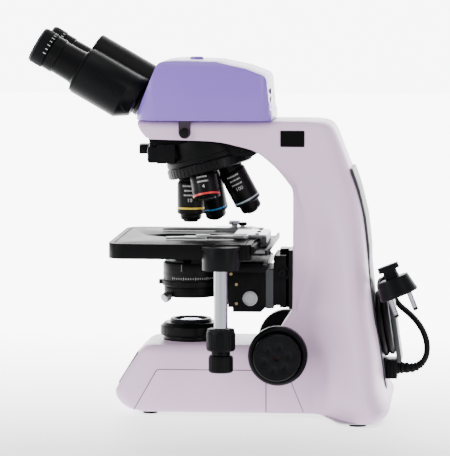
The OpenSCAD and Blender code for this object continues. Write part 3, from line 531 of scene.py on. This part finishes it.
def make_relief():
    """Ribbed, tapering sleeve from the connector on to the lead's first bend."""
    line = spline_through([at(199.6, 0, 41.5), at(206, 0, 41.5)] + [at(*p) for p in LEAD_ROUTE[:3]], 6)
    verts, faces = [], []
    sides = 20
    total = sum((b - a).length for a, b in zip(line, line[1:]))
    travelled = 0.0
    for i, p in enumerate(line):
        if i:
            travelled += (p - line[i - 1]).length
        t = travelled / total
        way = (line[min(i + 1, len(line) - 1)] - line[max(i - 1, 0)]).normalized()
        side = way.cross(Vector((0, 1, 0))).normalized()
        up = side.cross(way)
        radius = (6.4 - 2.9 * t - (0.8 if i % 4 in (2, 3) and 0.1 < t < 0.93 else 0)) * MM
        for k in range(sides):
            a = math.tau * k / sides
            verts.append(p + side * radius * math.cos(a) + up * radius * math.sin(a))
    rows = len(line)
    faces += [[i * sides + k, i * sides + (k + 1) % sides, (i + 1) * sides + (k + 1) % sides,
               (i + 1) * sides + k]
              for i in range(rows - 1) for k in range(sides)]
    faces += [list(range(sides)), [(rows - 1) * sides + k for k in range(sides)]]
    return mesh_piece("lead_relief", verts, faces, "stand", "rubber", angle=30)


def make_plug():
    """The pins, their feet, the rim and the grip ribs of the mains plug."""
    place = frame_at(at(*PLUG_AT), (math.sin(PLUG_TILT), 0, -math.cos(PLUG_TILT)))
    pieces = []
    for side in (-1, 1):
        pin = place @ shift(side * 9.5, 0, 0)
        name = "left" if side < 0 else "right"
        pieces.append(lathe(f"plug_pin_{name}", [(0, 16), (2.42, 16), (2.42, 33), (2.0, 34.6), (1.2, 35.6),
                                                 (0, 35.9)],
                            pin, "stand", "chrome", segments=24))
        pieces.append(lathe(f"plug_pin_foot_{name}", [(2.6, 16.9), (3.4, 16.9), (3.2, 18.2), (2.5, 18.4)],
                            pin, "stand", "black_plastic", segments=24))
    pieces.append(lathe("plug_edge", [(17.2, 14.2), (18.6, 14.4), (18.7, 16.4), (18.2, 17.3), (16.4, 17.3),
                                      (16.2, 16.2)], place, "stand", "black_plastic", segments=64))
    for k in (-1, 0, 1):
        rib = place @ shift(k * 5.0, 0, -6)
        pieces.append(prism(f"plug_rib_{k + 2}", rounded([(-0.8, -7, 0.5), (0.8, -7, 0.5), (0.8, 7, 0.5),
                                                          (-0.8, 7, 0.5)], 2),
                            6, rib, "stand", "black_plastic", bevel=0.2))
    return pieces


# ---- Stand skin -----------------------------------------------------------------------------------

def flow(pairs):
    """A smooth curve through (x, y) pairs that never overshoots them."""
    xs = [p[0] for p in pairs]
    ys = [p[1] for p in pairs]
    slopes = [(ys[i + 1] - ys[i]) / (xs[i + 1] - xs[i]) for i in range(len(xs) - 1)]
    tangents = [slopes[0]]
    for a, b, i in zip(slopes, slopes[1:], range(1, len(xs) - 1)):
        if a * b <= 0:
            tangents.append(0.0)
        else:
            h0, h1 = xs[i] - xs[i - 1], xs[i + 1] - xs[i]
            w0, w1 = 2 * h1 + h0, h1 + 2 * h0
            tangents.append((w0 + w1) / (w0 / a + w1 / b))
    tangents.append(slopes[-1])

    def value(x):
        if x <= xs[0]:
            return ys[0]
        if x >= xs[-1]:
            return ys[-1]
        i = max(k for k in range(len(xs) - 1) if xs[k] <= x)
        h = xs[i + 1] - xs[i]
        t = (x - xs[i]) / h
        return (ys[i] * (1 + 2 * t) * (1 - t) ** 2 + tangents[i] * h * t * (1 - t) ** 2
                + ys[i + 1] * t * t * (3 - 2 * t) + tangents[i + 1] * h * t * t * (t - 1))
    return value


BASE_FRONT = flow([(3.2, -48.5), (4.2, -54), (6, -58.5), (9, -62.8), (14, -67), (18, -68.9), (22, -69.4),
                   (26, -67.6),
                   (58, -47.9), (62, -45), (65, -41.5), (66.8, -37.5), (67.5, -32)])
COLUMN_FRONT = flow([(3.2, 76), (67.5, 76), (75, 84), (85, 90), (93, 95.8), (101, 100.1), (108, 100.5),
                     (207, 100.9),
                     (215, 100.4), (224, 94.8), (237.4, 83.8), (244, 76.5), (249.5, 69.5), (254, 60),
                     (257.6, 46),
                     (261.3, 27.8), (262.6, 10), (263.5, -35.0), (266.7, -40.8), (280.5, -47.7),
                     (281, -46.8)])
FRONT_HALF = flow([(3.2, 50), (58, 50), (67.5, 46), (85, 41), (101, 36), (215, 36), (237, 40), (250, 42),
                   (281, 42)])
EDGE_AT = flow([(3.2, 118), (67, 116), (85, 111), (101, 106), (130, 114), (160, 117.2), (190, 113),
                (215, 106),
                (230, 104), (250, 100), (281, 92)])
EDGE_HALF = flow([(3.2, 50.1), (58, 50.3), (67.5, 48), (101, 39), (160, 42), (215, 41.5), (250, 42),
                  (281, 42)])
REAR_AT = flow([(3.2, 189.5), (8, 194), (13, 195), (20, 191), (28, 188.2), (51, 185.9), (76, 182.4),
                (95, 178.6), (123, 175),
                (163, 171.3), (191, 168), (218, 161.5), (239, 154), (250, 149.7), (264, 144.2), (272, 140.8),
                (277, 137.3), (280, 131.5), (281, 126)])
WING_HALF = flow([(3.2, 112.6), (6, 114.4), (10, 115.1), (16, 113.3), (67, 98), (160, 68), (220, 50),
                  (250, 42.6),
                  (281, 42)])
ARM_TOP, ARM_ROUND = 281.0, 8.0
FOOT_GAP = 3.2               # the skins end this far above the table
BASE_TOP, BASE_ROUND, BASE_HALF, BASE_CORNER = 67.5, 9, 50, 14.0
BASE_REAR = 76
SEAM_LINE = ((-50.5, 4.6, 0), (-28, 44, 4), (96, 44, 4), (112.3, 4.6,
                                                          0))    # the side panel's outline (u, z, radius)
LOCK_AT = (-2, 270)
BADGE_AT = (100.7, 264.7)
RACK_SLOT = (13.0, 27.0, 70.0, 106.0)


def top_inset(z, top, radius):
    """How far a rounded top edge draws in at a height."""
    over = z - (top - radius)
    return 0.0 if over <= 0 else radius - math.sqrt(max(0.0, radius ** 2 - min(over, radius) ** 2))


def column_section(z):
    """Half a level section of the column and arm, from the middle of the front to the middle of the rear."""
    inset = top_inset(z, ARM_TOP, ARM_ROUND)
    front, rear = COLUMN_FRONT(z), REAR_AT(z)
    fw, ew, ww = FRONT_HALF(z) - inset, EDGE_HALF(z) - inset, WING_HALF(z) - inset
    edge = EDGE_AT(z)
    corner = 3.0
    points = [(front, 0), (front, 6.5), (front, RACK_SLOT[0]), (front, RACK_SLOT[1]), (front, fw - corner)]
    points += [(front + corner * (1 - math.cos(a)), fw - corner * (1 - math.sin(a)))
               for a in (math.pi / 8, math.pi / 4, 3 * math.pi / 8, math.pi / 2)]
    points += [(front + corner + (edge - front - corner) * t, fw + (ew - fw) * t) for t in (0.25, 0.5, 0.75,
                                                                                            0.97)]
    points.append((edge, ew))
    wing = rear - 15
    for i in range(1, 15):
        t = i / 14
        s = t * t * (3 - 2 * t)
        points.append((edge + (wing - edge) * t, ew + (ww - ew) * s))
    side = ww
    back = 0.52 * ww
    depth = rear - wing
    for k in range(1, 10):
        a = math.pi / 2 * k / 9
        points.append((wing + depth * math.sin(a), back + (side - back) * math.cos(a)))
    points.append((rear, 0))
    return points


def skin(name, sections, body, material, skip=(), stands_for=(), angle=28):
    """Joins mirrored half sections [(z, [(u, half)])] into one skin, closed at the top and open below."""
    verts, faces, rows = [], [], []
    for z, half in sections:
        row = []
        ring = half + [(u, -w) for u, w in half[::-1] if w > 1e-6]
        for u, w in ring:
            row.append(len(verts))
            verts.append(at(u, w, z))
        rows.append(row)
    n = len(rows[0])
    for low, high in zip(rows, rows[1:]):
        for i in range(n):
            k = (i + 1) % n
            middle = (verts[low[i]] + verts[low[k]] + verts[high[i]] + verts[high[k]]) / 4 / MM
            in_front = middle.x < AXIS_X / MM + 101
            if skip and in_front and skip[0] < middle.y < skip[1] and skip[2] < middle.z < skip[3]:
                continue
            faces.append([low[i], low[k], high[k], high[i]])
    top = rows[-1]
    for i in range((n + 2) // 2 - 2):
        loop = [top[i], top[i + 1], top[(n - i - 1) % n], top[(n - i) % n]]
        loop = [v for q, v in enumerate(loop) if v != loop[q - 1]]
        if len(set(loop)) >= 3:
            faces.append(loop)
    return mesh_piece(name, verts, faces, body, material, stands_for=stands_for, angle=angle)


def spread(low, high, step):
    """Even levels from low up to, but not including, high."""
    count = max(1, round((high - low) / step))
    return [low + (high - low) * i / count for i in range(count)]


def make_stand():
    """The painted skins of base and column, the panel seams, a flat sheet of painted shade for the lock screw's
    notch, and the badges.
    """
    levels = (spread(FOOT_GAP, 14, 1.4) + spread(14, BASE_TOP, 4) + spread(BASE_TOP, 70, 2.5) + spread(70,
                                                                                                       106, 3)
              + spread(106, 249.5, 4) + spread(249.5, 263.5, 1.4) + spread(263.5, 273, 1.9)
              + spread(273, ARM_TOP, 0.7) + [ARM_TOP])
    sections = [(z, column_section(z)) for z in levels]
    skin("column_skin", sections, "stand", "pink_paint", RACK_SLOT, ("column_housing", "arm_housing"))
    levels = (spread(FOOT_GAP, 14, 1.2) + spread(14, 26, 2) + spread(26, 58, 4) + spread(58, BASE_TOP, 0.6)
              + [BASE_TOP])
    sections = []
    for z in levels:
        inset = top_inset(z, BASE_TOP, BASE_ROUND)
        front, half = BASE_FRONT(z), BASE_HALF - inset - max(0, 5.5 - z) * 0.5
        points = [(front, 0), (front, 18), (front, half - BASE_CORNER)]
        points += [(front + BASE_CORNER * (1 - math.cos(a)), half - BASE_CORNER * (1 - math.sin(a)))
                   for a in (math.pi / 2 * k / 7 for k in range(1, 8))]
        points += [(front + BASE_CORNER + (BASE_REAR - front - BASE_CORNER) * t, half) for t in (0.2, 0.5,
                                                                                                 0.8, 1)]
        points.append((BASE_REAR, 0))
        sections.append((z, points))
    skin("base_skin", sections, "stand", "pink_paint", (), ("base_housing", "side_panels"))
    for side, name in SIDES:
        line = rounded(SEAM_LINE, 6)
        tube(f"panel_seam_{name}", [at(u, side * 50.05, z) for u, z in line], 0.32, "stand", "seam")
        notch = frame_at(at(LOCK_AT[0], side * 42.0, LOCK_AT[1]), (0, side, 0), (0, 0, 1))
        # The lock screw's notch on the right side is a thin flat dark sheet: painted shade of the recess, not a
        # cut in the skin.
        if side < 0:
            outline = [(-5.8, 12)] + [(5.8 * math.cos(a), 5.8 * math.sin(a))
                                      for a in (math.pi * (1 + k / 14) for k in range(15))] + [(5.8, 12)]
            prism("lock_notch_shade", outline, 0.25, notch @ shift(0, 0, -0.05), "stand",
                  "seam", bevel=0.05)
        badge = frame_at(at(BADGE_AT[0], side * 42.0, BADGE_AT[1]), (0, side, 0), (0, 0, 1))
        prism(f"badge_{name}", rounded([(-11.5, -7.7, 0.8), (11.5, -7.7, 0.8), (11.5, 7.7, 0.8),
                                        (-11.5, 7.7, 0.8)], 3), 0.7,
              badge, "stand", "badge_black", bevel=0.2)


# ---- Ribbed grips and rings ---------------------------------------------------------------------

def sleeve(name, place, radius, low, high, ribs, depth, body, material, inside=2.0, chamfer=0.7):
    """A ribbed grip ring between two heights of its frame."""
    profile = [(radius - inside, low), (radius - depth - 0.2, low), (radius, low + chamfer, depth),
               (radius, high - chamfer, depth), (radius - depth - 0.2, high), (radius - inside, high)]
    return lathe(name, profile, place, body, material, ribs=ribs)


def axis_place(u, y, z, direction):
    """The frame of a turned piece whose axis starts at a point and runs in a direction."""
    return frame_at(at(u, y, z), direction, (0, 0, 1) if abs(direction[1]) > 0.5 else (0, 1, 0))


def turned_bars(name, place, radius, bars, body, material, thick=0.12):
    """Small raised marks on a cylinder: bars is [(angle, height, width, tall)] in millimetres round it."""
    verts, faces = [], []
    for angle, height, width, tall in bars:
        start = len(verts)
        for r in (radius, radius + thick):
            for da in (-0.5, 0.5):
                for dz in (-0.5, 0.5):
                    a = angle + da * width / radius
                    verts.append(place @ Vector((r * MM * math.cos(a), r * MM * math.sin(a),
                                                 (height + dz * tall) * MM)))
        faces += [[start + i for i in q] for q in ((0, 1, 3, 2), (4, 6, 7, 5), (0, 4, 5, 1), (2, 3, 7, 6),
                                                   (0, 2, 6, 4),
                                                   (1, 5, 7, 3))]
    return mesh_piece(name, verts, faces, body, material)


def wrapped_number(name, text, place, radius, angle, height, size, body, material):
    """A number laid round a barrel."""
    font = bpy.data.curves.new(name, "FONT")
    font.body = text
    font.size = size
    font.align_x = "CENTER"
    font.align_y = "CENTER"
    font.extrude = 0.06
    font.resolution_u = 2
    scratch = bpy.data.objects.new(name + "_font", font)
    bpy.context.collection.objects.link(scratch)
    mesh = scratch.to_mesh()
    verts, faces = [], [list(p.vertices) for p in mesh.polygons]
    for v in mesh.vertices:
        a = angle + v.co.x / radius
        r = radius + 0.05 + v.co.z
        verts.append(place @ Vector((r * MM * math.cos(a), r * MM * math.sin(a), (height + v.co.y) * MM)))
    scratch.to_mesh_clear()
    bpy.data.objects.remove(scratch)
    bpy.data.curves.remove(font)
    return mesh_piece(name, verts, faces, body, material)


KNOB_AT = (89, 60, 61)       # along, across and up to where a coarse knob starts
DIMPLES, DIMPLE_RING, DIMPLE_TURN = 6, 11.3, math.radians(15)
TUBE_AT = (-11.9, 32)        # an eyetube's axis in the binocular's frame
DRIVE_AT = (37.2, -95)       # the stage drive's axis
PINION_AT = (59.8, 110.9)    # the condenser's pinion, along and up
PORT_RING, PORT_LEAN = 19.6, math.radians(15)
OBJECTIVES = (               # name, turn on the nosepiece, length, band, end grip, paint, number
    ("objective_4x", 72, 28.3, 24.8, 22.5, "red_band", "4"),
    ("objective_10x", 0, 47.5, 34, 39, "yellow_band", "10"),
    ("objective_40x", -72, 53.1, 40, 43, "blue_band", "40"),
    ("objective_100x", -144, 54.7, 40, 43, "light_band", "100"),
)


def make_focus_knobs(side, hand):
    """The ribbed grip, rings and core of the coarse and fine knobs on one side."""
    knob = axis_place(KNOB_AT[0], side * KNOB_AT[1], KNOB_AT[2], (0, side, 0))
    sleeve(f"coarse_grip_{hand}", knob, 28.15, 2.2, 13, 84, 0.55, "coarse_drive", "black_plastic")
    lathe(f"coarse_face_{hand}", [(23.9, 14.9), (24.3, 15.6), (25.7, 15.7), (26.2, 15.3), (25, 14.6)], knob,
          "coarse_drive", "black_plastic")
    lathe(f"fine_rim_{hand}", [(19.6, 27.6), (20.4, 28.0), (21.2, 27.9), (22.3, 26.7), (22.5, 25),
                               (21, 25)], knob,
          "fine_drive", "black_plastic")
    for k in range(DIMPLES if side < 0 else 0):
        a = math.tau * k / DIMPLES + DIMPLE_TURN
        dent = knob @ shift(DIMPLE_RING * math.cos(a), DIMPLE_RING * math.sin(a), 0)
        lathe(f"fine_dimple_rim_{hand}_{k}", [(4.6, 27.75), (4.9, 27.98), (5.3, 27.95), (5.6, 27.7)], dent,
              "fine_drive", "black_plastic", segments=40)
    lathe(f"fine_core_{hand}", [(0, 24.6), (2.4, 24.6), (2.4, 24.9), (0, 24.9)], knob, "fine_drive",
          "red_core", segments=32)


def make_eyetube_rings(side, hand):
    """The rings, cup, lens and marks of one eyetube and its eyepiece."""
    eye = BINOCULAR @ shift(TUBE_AT[0], side * TUBE_AT[1], 0)
    tube_body, ring_body, piece_body = f"{hand}_tube", f"{hand}_diopter", f"{hand}_eyepiece"
    sleeve(f"diopter_grip_{hand}", eye, 16.9, 89.2, 99.3, 60, 0.45, ring_body, "anodised", chamfer=0.5)
    lathe(f"tube_collar_{hand}", [(15, 62.4), (22.2, 62.4), (22.5, 63), (22.5, 65.6), (22, 66.3), (19, 66.6),
                                  (16.9, 68.6), (16.4, 72), (16.1, 88.2), (14, 88.2)], eye, tube_body,
          "black_paint")
    lathe(f"tube_line_{hand}", [(22.2, 60.6), (22.45, 60.9), (22.45, 61.6), (22.2, 61.9)], eye, tube_body,
          "black_plastic")
    lathe(f"eyecup_{hand}", [(12, 108.5), (13.2, 112.6), (14.4, 114), (16.2, 113.9), (17.4, 112.6),
                             (17.75, 110.8),
                             (17.75, 108.6), (17.2, 108)], eye, piece_body, "rubber_rim")
    lathe(f"eyecup_waist_{hand}", [(17.3, 99.95), (17.7, 100.6), (17.75, 103.4), (17.5, 103.9),
                                   (17.75, 104.4),
                                   (17.75, 107.4), (17.3, 108)], eye, piece_body, "rubber")
    lathe(f"eye_lens_{hand}", [(0, 110.4), (6, 110.9), (11.6, 110.1), (11.9, 109.8), (0, 109.8)], eye,
          piece_body, "lens_coat")
    turned_bars(f"eyecup_marks_{hand}", eye, 17.72,
                [(math.radians(-98 + 14 * k), 101.9, 0.7, 2.4 if k % 2 else 3.0) for k in range(9)],
                piece_body, "white_mark", 0.1)


def make_objective_rings(name, angle, length, band, end, paint, number):
    """The colour band, grip, shoulder, tip and marks of one objective."""
    place = (TURRET @ Matrix.Rotation(math.radians(angle), 4,
                                      "Z") @ shift(-PORT_RING, 0, 0)
             @ Matrix.Rotation(PORT_LEAN, 4, "Y"))
    lathe(f"{name}_band", [(12.9, -band - 0.9), (13.22, -band - 0.9), (13.22, -band + 0.9),
                           (12.9, -band + 0.9)],
          place, "nosepiece", paint)
    sleeve(f"{name}_grip", place, 13.25, -end, -end + 3.2, 60, 0.3, "nosepiece", "anodised", inside=0.6,
           chamfer=0.3)
    neck = 5 if length < 30 else 9
    lathe(f"{name}_shoulder", [(11, -neck + 2.8), (11.9, -neck + 2.6), (11.9, -neck + 0.6),
                               (12.4, -neck - 0.3),
                               (13, -neck - 1)], place, "nosepiece", "anodised")
    lathe(f"{name}_tip", [(0, -length + 0.1), (4, -length + 0.1), (4.2, -length - 0.05), (5.2, -length + 0.1),
                          (5.6, -length + 0.9)], place, "nosepiece", "bright_steel")
    turned = random.Random(number)
    top = -neck - 3.4
    rows = 3 if length > 30 else 2
    if length < 30:
        lathe(f"{name}_skirt", [(12.4, -21.8), (13.1, -22.2), (13.1, -26.4), (12.5, -27.2), (9.6, -27.5),
                                (9.2, -27.2)],
              place, "nosepiece", "anodised")
    for turn in (math.radians(180), 0):
        facing = turn + math.pi / 2 - math.radians(angle)
        bars = []
        for row in range(rows):
            reach = 5 + turned.random() * 2
            x = -reach
            while x < reach:
                wide = 0.5 + turned.random() * 0.7
                bars.append((facing + x / 13.1, top - row * 4.4, wide, 1.5))
                x += wide + 0.45
        turned_bars(f"{name}_marks_{'a' if turn else 'b'}", place, 13.1, bars, "nosepiece", "white_mark")
        wrapped_number(f"{name}_number_{'a' if turn else 'b'}", number, place, 13.1, facing,
                       top - rows * 4.4 - 0.6, 5.2, "nosepiece", "white_mark")


def make_grips():
    """Ribbed grips, rings and marks, piece by piece from the focus knobs to the condenser's screws."""
    for side, hand in SIDES:
        make_focus_knobs(side, hand)
        make_eyetube_rings(side, hand)
    for objective in OBJECTIVES:
        make_objective_rings(*objective)
    sleeve("turret_grip", TURRET, 41.5, -1.6, 7.2, 54, 1.1, "nosepiece", "anodised", inside=3)
    lathe("fixed_ring", [(36, 8.6), (39.9, 8.6), (40.2, 9), (40.2, 13), (39.6, 13.8), (36, 13.8)], TURRET,
          "stand", "black_paint")
    sleeve("field_iris_grip", UPRIGHT, 29.6, 72.4, 81, 72, 0.6, "field_iris", "anodised")
    lathe("lamp_top_ring", [(16.1, 87.2), (17, 88), (19.2, 88), (20.1, 87.2), (20.1, 84.9), (18, 84.9)],
          UPRIGHT, "stand", "black_plastic")
    sleeve("condenser_iris_grip", UPRIGHT, 27.9, 120.5, 125.5, 80, 0.4, "condenser_iris", "anodised")
    turned_bars("condenser_scale", UPRIGHT, 26.9,
                [(math.radians(-125 + 5 * k), 128.4, 0.5, 2.6 if k % 5 == 0 else 1.6) for k in range(22)],
                "condenser", "white_mark")
    lathe("condenser_line", [(26.6, 131.2), (27.15, 131.4), (27.15, 132.4), (26.6, 132.6)], UPRIGHT,
          "condenser", "anodised")
    lathe("condenser_line_top", [(26.6, 138.6), (27.1, 138.8), (27.1, 139.6), (26.6, 139.8)], UPRIGHT,
          "condenser", "anodised")
    drive = Matrix.Translation(at(*DRIVE_AT, 0))
    sleeve("upper_knob_grip", drive, 13.7, 69.9, 86, 30, 0.75, "upper_knob", "black_plastic")
    sleeve("lower_knob_grip", drive, 11.6, 49.3, 63.2, 26, 0.7, "lower_knob", "black_plastic")
    lathe("drive_column", [(6.0, 90), (6.5, 90.2), (6.5, 144.8), (6.0, 145)], drive, "stage", "chrome",
          segments=48)
    lathe("drive_cap_ring", [(17.2, 163.2), (17.75, 163.6), (17.75, 164.6), (17.2, 165)], drive, "stage",
          "black_plastic")
    screw = axis_place(LOCK_AT[0], -42, LOCK_AT[1], (0, -1, 0))
    sleeve("lock_screw_grip", screw, 4.7, 0.8, 4.3, 30, 0.25, "lock_screw", "anodised", inside=1)
    lathe("head_cap", [(0, 341), (5.2, 340.9), (6.2, 340.4), (6.6, 339.4), (6.6, 338.6), (0, 338.6)],
          Matrix.Translation(at(6, 0, 0)), "head", "violet_plastic")
    for side, hand in SIDES:
        turn = Matrix.Rotation(-side * math.pi / 4, 4, "Z")
        handle = UPRIGHT @ turn @ Matrix.Translation((-24 * MM, 0,
                                                      113.5 * MM)) @ Matrix.Rotation(math.radians(-115), 4,
                                                                                     "Y")
        sleeve(f"centering_grip_{hand}", handle, 4.7, 4.8, 10.3, 28, 0.3, f"{hand}_screw", "bright_steel",
               inside=1)


def crease(name, node, line, side, body):
    """A fine raised line along [(x, n)] of the binocular, laid on a CAD node seen from its side."""
    surface = BVHTree.FromObject(frame["nodes"][node], bpy.context.evaluated_depsgraph_get())
    points = []
    for x, n in line:
        start = BINOCULAR @ Vector((x * MM, side * 0.2, n * MM))
        hit = surface.ray_cast(start, Vector((0, -side, 0)))[0]
        if hit is not None:
            points.append(hit + Vector((0, side * 0.05 * MM, 0)))
    tube(name, spline_through(points, 3), 0.4, body, "black_plastic")


def screw_head(name, place, radius, height, body, material):
    """A cap screw: a rounded head with a socket."""
    profile = [(radius, -0.6), (radius, height * 0.75), (radius * 0.9, height), (radius * 0.5, height),
               (radius * 0.45, height * 0.35), (0, height * 0.3)]
    return lathe(name, profile, place, body, material, segments=32)


def make_details():
    """Small fittings on the stage, the focus block and the nosepiece mount."""
    for side, hand in SIDES:
        crease(f"housing_crease_{hand}", f"prism_housing_{hand}",
               [(1.5, 60), (-1.5, 54), (-4.5, 47), (-7.5, 39), (-11, 31), (-15.5, 22.5), (-20.5, 14),
                (-25, 8)], side,
               f"{hand}_tube")
    lathe("barrel_line", [(24.3, 36.1), (24.62, 36.3), (24.62, 37.1), (24.3, 37.3)], BINOCULAR, "head",
          "black_plastic")
    for side, hand in SIDES:
        front = (0, side, 0)
        screw_head(f"block_screw_{hand}", axis_place(90.2, side * 28.1, 135.2, front), 4.2, 1.4,
                   "focus_carriage", "black_plastic")
        lathe(f"block_recess_{hand}", [(5.2, 0), (5.4, 0.35), (7.2, 0.35), (7.4, 0)],
              axis_place(90.2, side * 28.0, 135.2, front), "focus_carriage", "black_paint")
        for k, (u, z) in enumerate(((46.5, 124), (46.5, 105.5), (41.3, 134))):
            screw_head(f"gib_screw_{hand}_{k}", axis_place(u, side * 29.95, z, front), 1.5, 0.6,
                       "focus_carriage", "brass")
        block(f"block_strip_{hand}", (74.6, min(side * 28.4, side * 28.9), 101.4),
              (81.8, max(side * 28.4, side * 28.9), 138.6),
              "focus_carriage", "grey_plastic", 0.15)
        block(f"mount_pad_{hand}", (6, min(side * 30.9, side * 31.6), 251),
              (33, max(side * 30.9, side * 31.6), 258.5), "stand",
              "grey_plastic", 0.2)
        screw_head(f"mount_screw_{hand}", axis_place(52, side * 31, 252.6, front), 1.8, 0.7, "stand",
                   "black_plastic")
    pinion = axis_place(PINION_AT[0], -32.2, PINION_AT[1], (0, -1, 0))
    lathe("pinion_disc", [(0, 0.05), (2.2, 0.05), (2.4, 0.5), (4.6, 0.5), (4.9, 0.15), (5.6, 0.15),
                          (5.9, 0.55), (7.1, 0.4),
                          (7.15, -1.6), (6, -1.6)], pinion, "condenser_drive", "bright_steel", segments=64)
    sleeve("condenser_grip", axis_place(PINION_AT[0], 30.4, PINION_AT[1], (0, 1, 0)), 12.3, 2, 16, 40, 0.5,
           "condenser_drive", "black_plastic")
    dome = Matrix.Translation(at(38, 51, 0))
    lathe("holder_dome", [(5.5, 174.6), (5.9, 175.2), (5.6, 176.6), (4.2, 177.8), (2, 178.3), (0, 178.4)],
          dome, "holder", "chrome", segments=48)
    sleeve("holder_thumb", Matrix.Translation(at(46, 52, 0)), 4.4, 173.4, 176.4, 28, 0.35, "holder",
           "black_plastic", inside=4.2)
    for k, y in enumerate((-36, 36)):
        block(f"holder_scale_{k}", (44.5, y - 12, 172.02), (56.5, y + 12, 172.35), "holder", "black_paint",
              0.1)
    for k, y in enumerate((-24, 0, 24)):
        screw_head(f"holder_screw_{k}", Matrix.Translation(at(66, y, 172)), 2, 0.9, "holder",
                   "black_plastic")
    block("holder_bracket", (71, -30.4, 160.6), (75.4, 30.4, 170.4), "holder", "grey_plastic",
          0.4)
    for side, hand in SIDES:
        screw_head(f"stage_end_screw_{hand}", axis_place(62, side * 88, 160, (0, side, 0)), 1.7, 0.5, "stage",
                   "black_plastic")
    for k, (u, y) in enumerate(((-55, -76), (-55, 76), (52, -76), (52, 76))):
        screw_head(f"stage_top_screw_{k}", Matrix.Translation(at(u, y, 167.6)), 1.8, 0.5, "stage",
                   "black_plastic")
    turned_bars("stage_slide_scale", Matrix.Translation(at(-1000, 0, 0)), 1058.5,
                [((k - 25) * 2 / 1058.5, 171.0, 0.35, 1.4 if k % 5 else 2.2) for k in range(51)], "holder",
                "white_mark")
    block("slider_box", (-38.5, -36, 240.4), (-12.4, -20, 256.4), "stand", "black_plastic",
          2.2)
    for k in range(5):
        block(f"slider_rib_{k}", (-49.4, -7 + 3.2 * k, 248.2), (-48.6, -5.8 + 3.2 * k, 255.8), "filter",
              "black_plastic", bevel=0.15)
    for k in range(4):
        y, z = -22 + 14 * (k % 2) + 4.5, 298 + 8 * (k // 2) + 2.5
        block(f"camera_port_{k}", (78.2, y - 4.2, z - 2.2), (79.2, y + 4.2, z + 2.2), "head", "dark_gloss",
              0.2)
    for k in range(3):
        block(f"inlet_rib_{k}", (190.5 + 3 * k, -13.9, 34), (191.9 + 3 * k, 13.9, 49.5), "stand", "rubber",
              0.3)


SHARP_NODES = {"lamp_module", "fold_mirror", "power_board", "beam_splitter", "field_lens", "focus_rack",
               "coarse_shaft", "fine_shaft", "focus_guide", "bottom_plate"}
ROUNDED_NODES = {"head_shell": 1.6, "stage_plate": 0.7, "focus_block": 0.6, "nosepiece_mount": 0.8,
                 "mains_plug": 0.9, "lead_connector": 0.8, "cord_winder": 0.9, "prism_housing_right": 1.0,
                 "prism_housing_left": 1.0,
                 "rear_panel": 0.5, "turret": 0.3, "fine_knobs": 0.5, "eyepiece_right": 0.4,
                 "eyepiece_left": 0.4}
REPLACED = {"base_housing", "side_panels", "column_housing", "arm_housing", "power_lead", "lead_hank"}


def main():
    make_cord()
    make_studio()
    for node in frame["nodes"]:
        if node in REPLACED:
            continue
        slot = next(s["material_slot"] for s in frame["record"]["subparts"] if s["node"] == node)
        dress(node, slot, 0 if node in SHARP_NODES else ROUNDED_NODES.get(node, 0.35))
    make_stand()
    make_grips()
    make_details()


make_camera()
main()
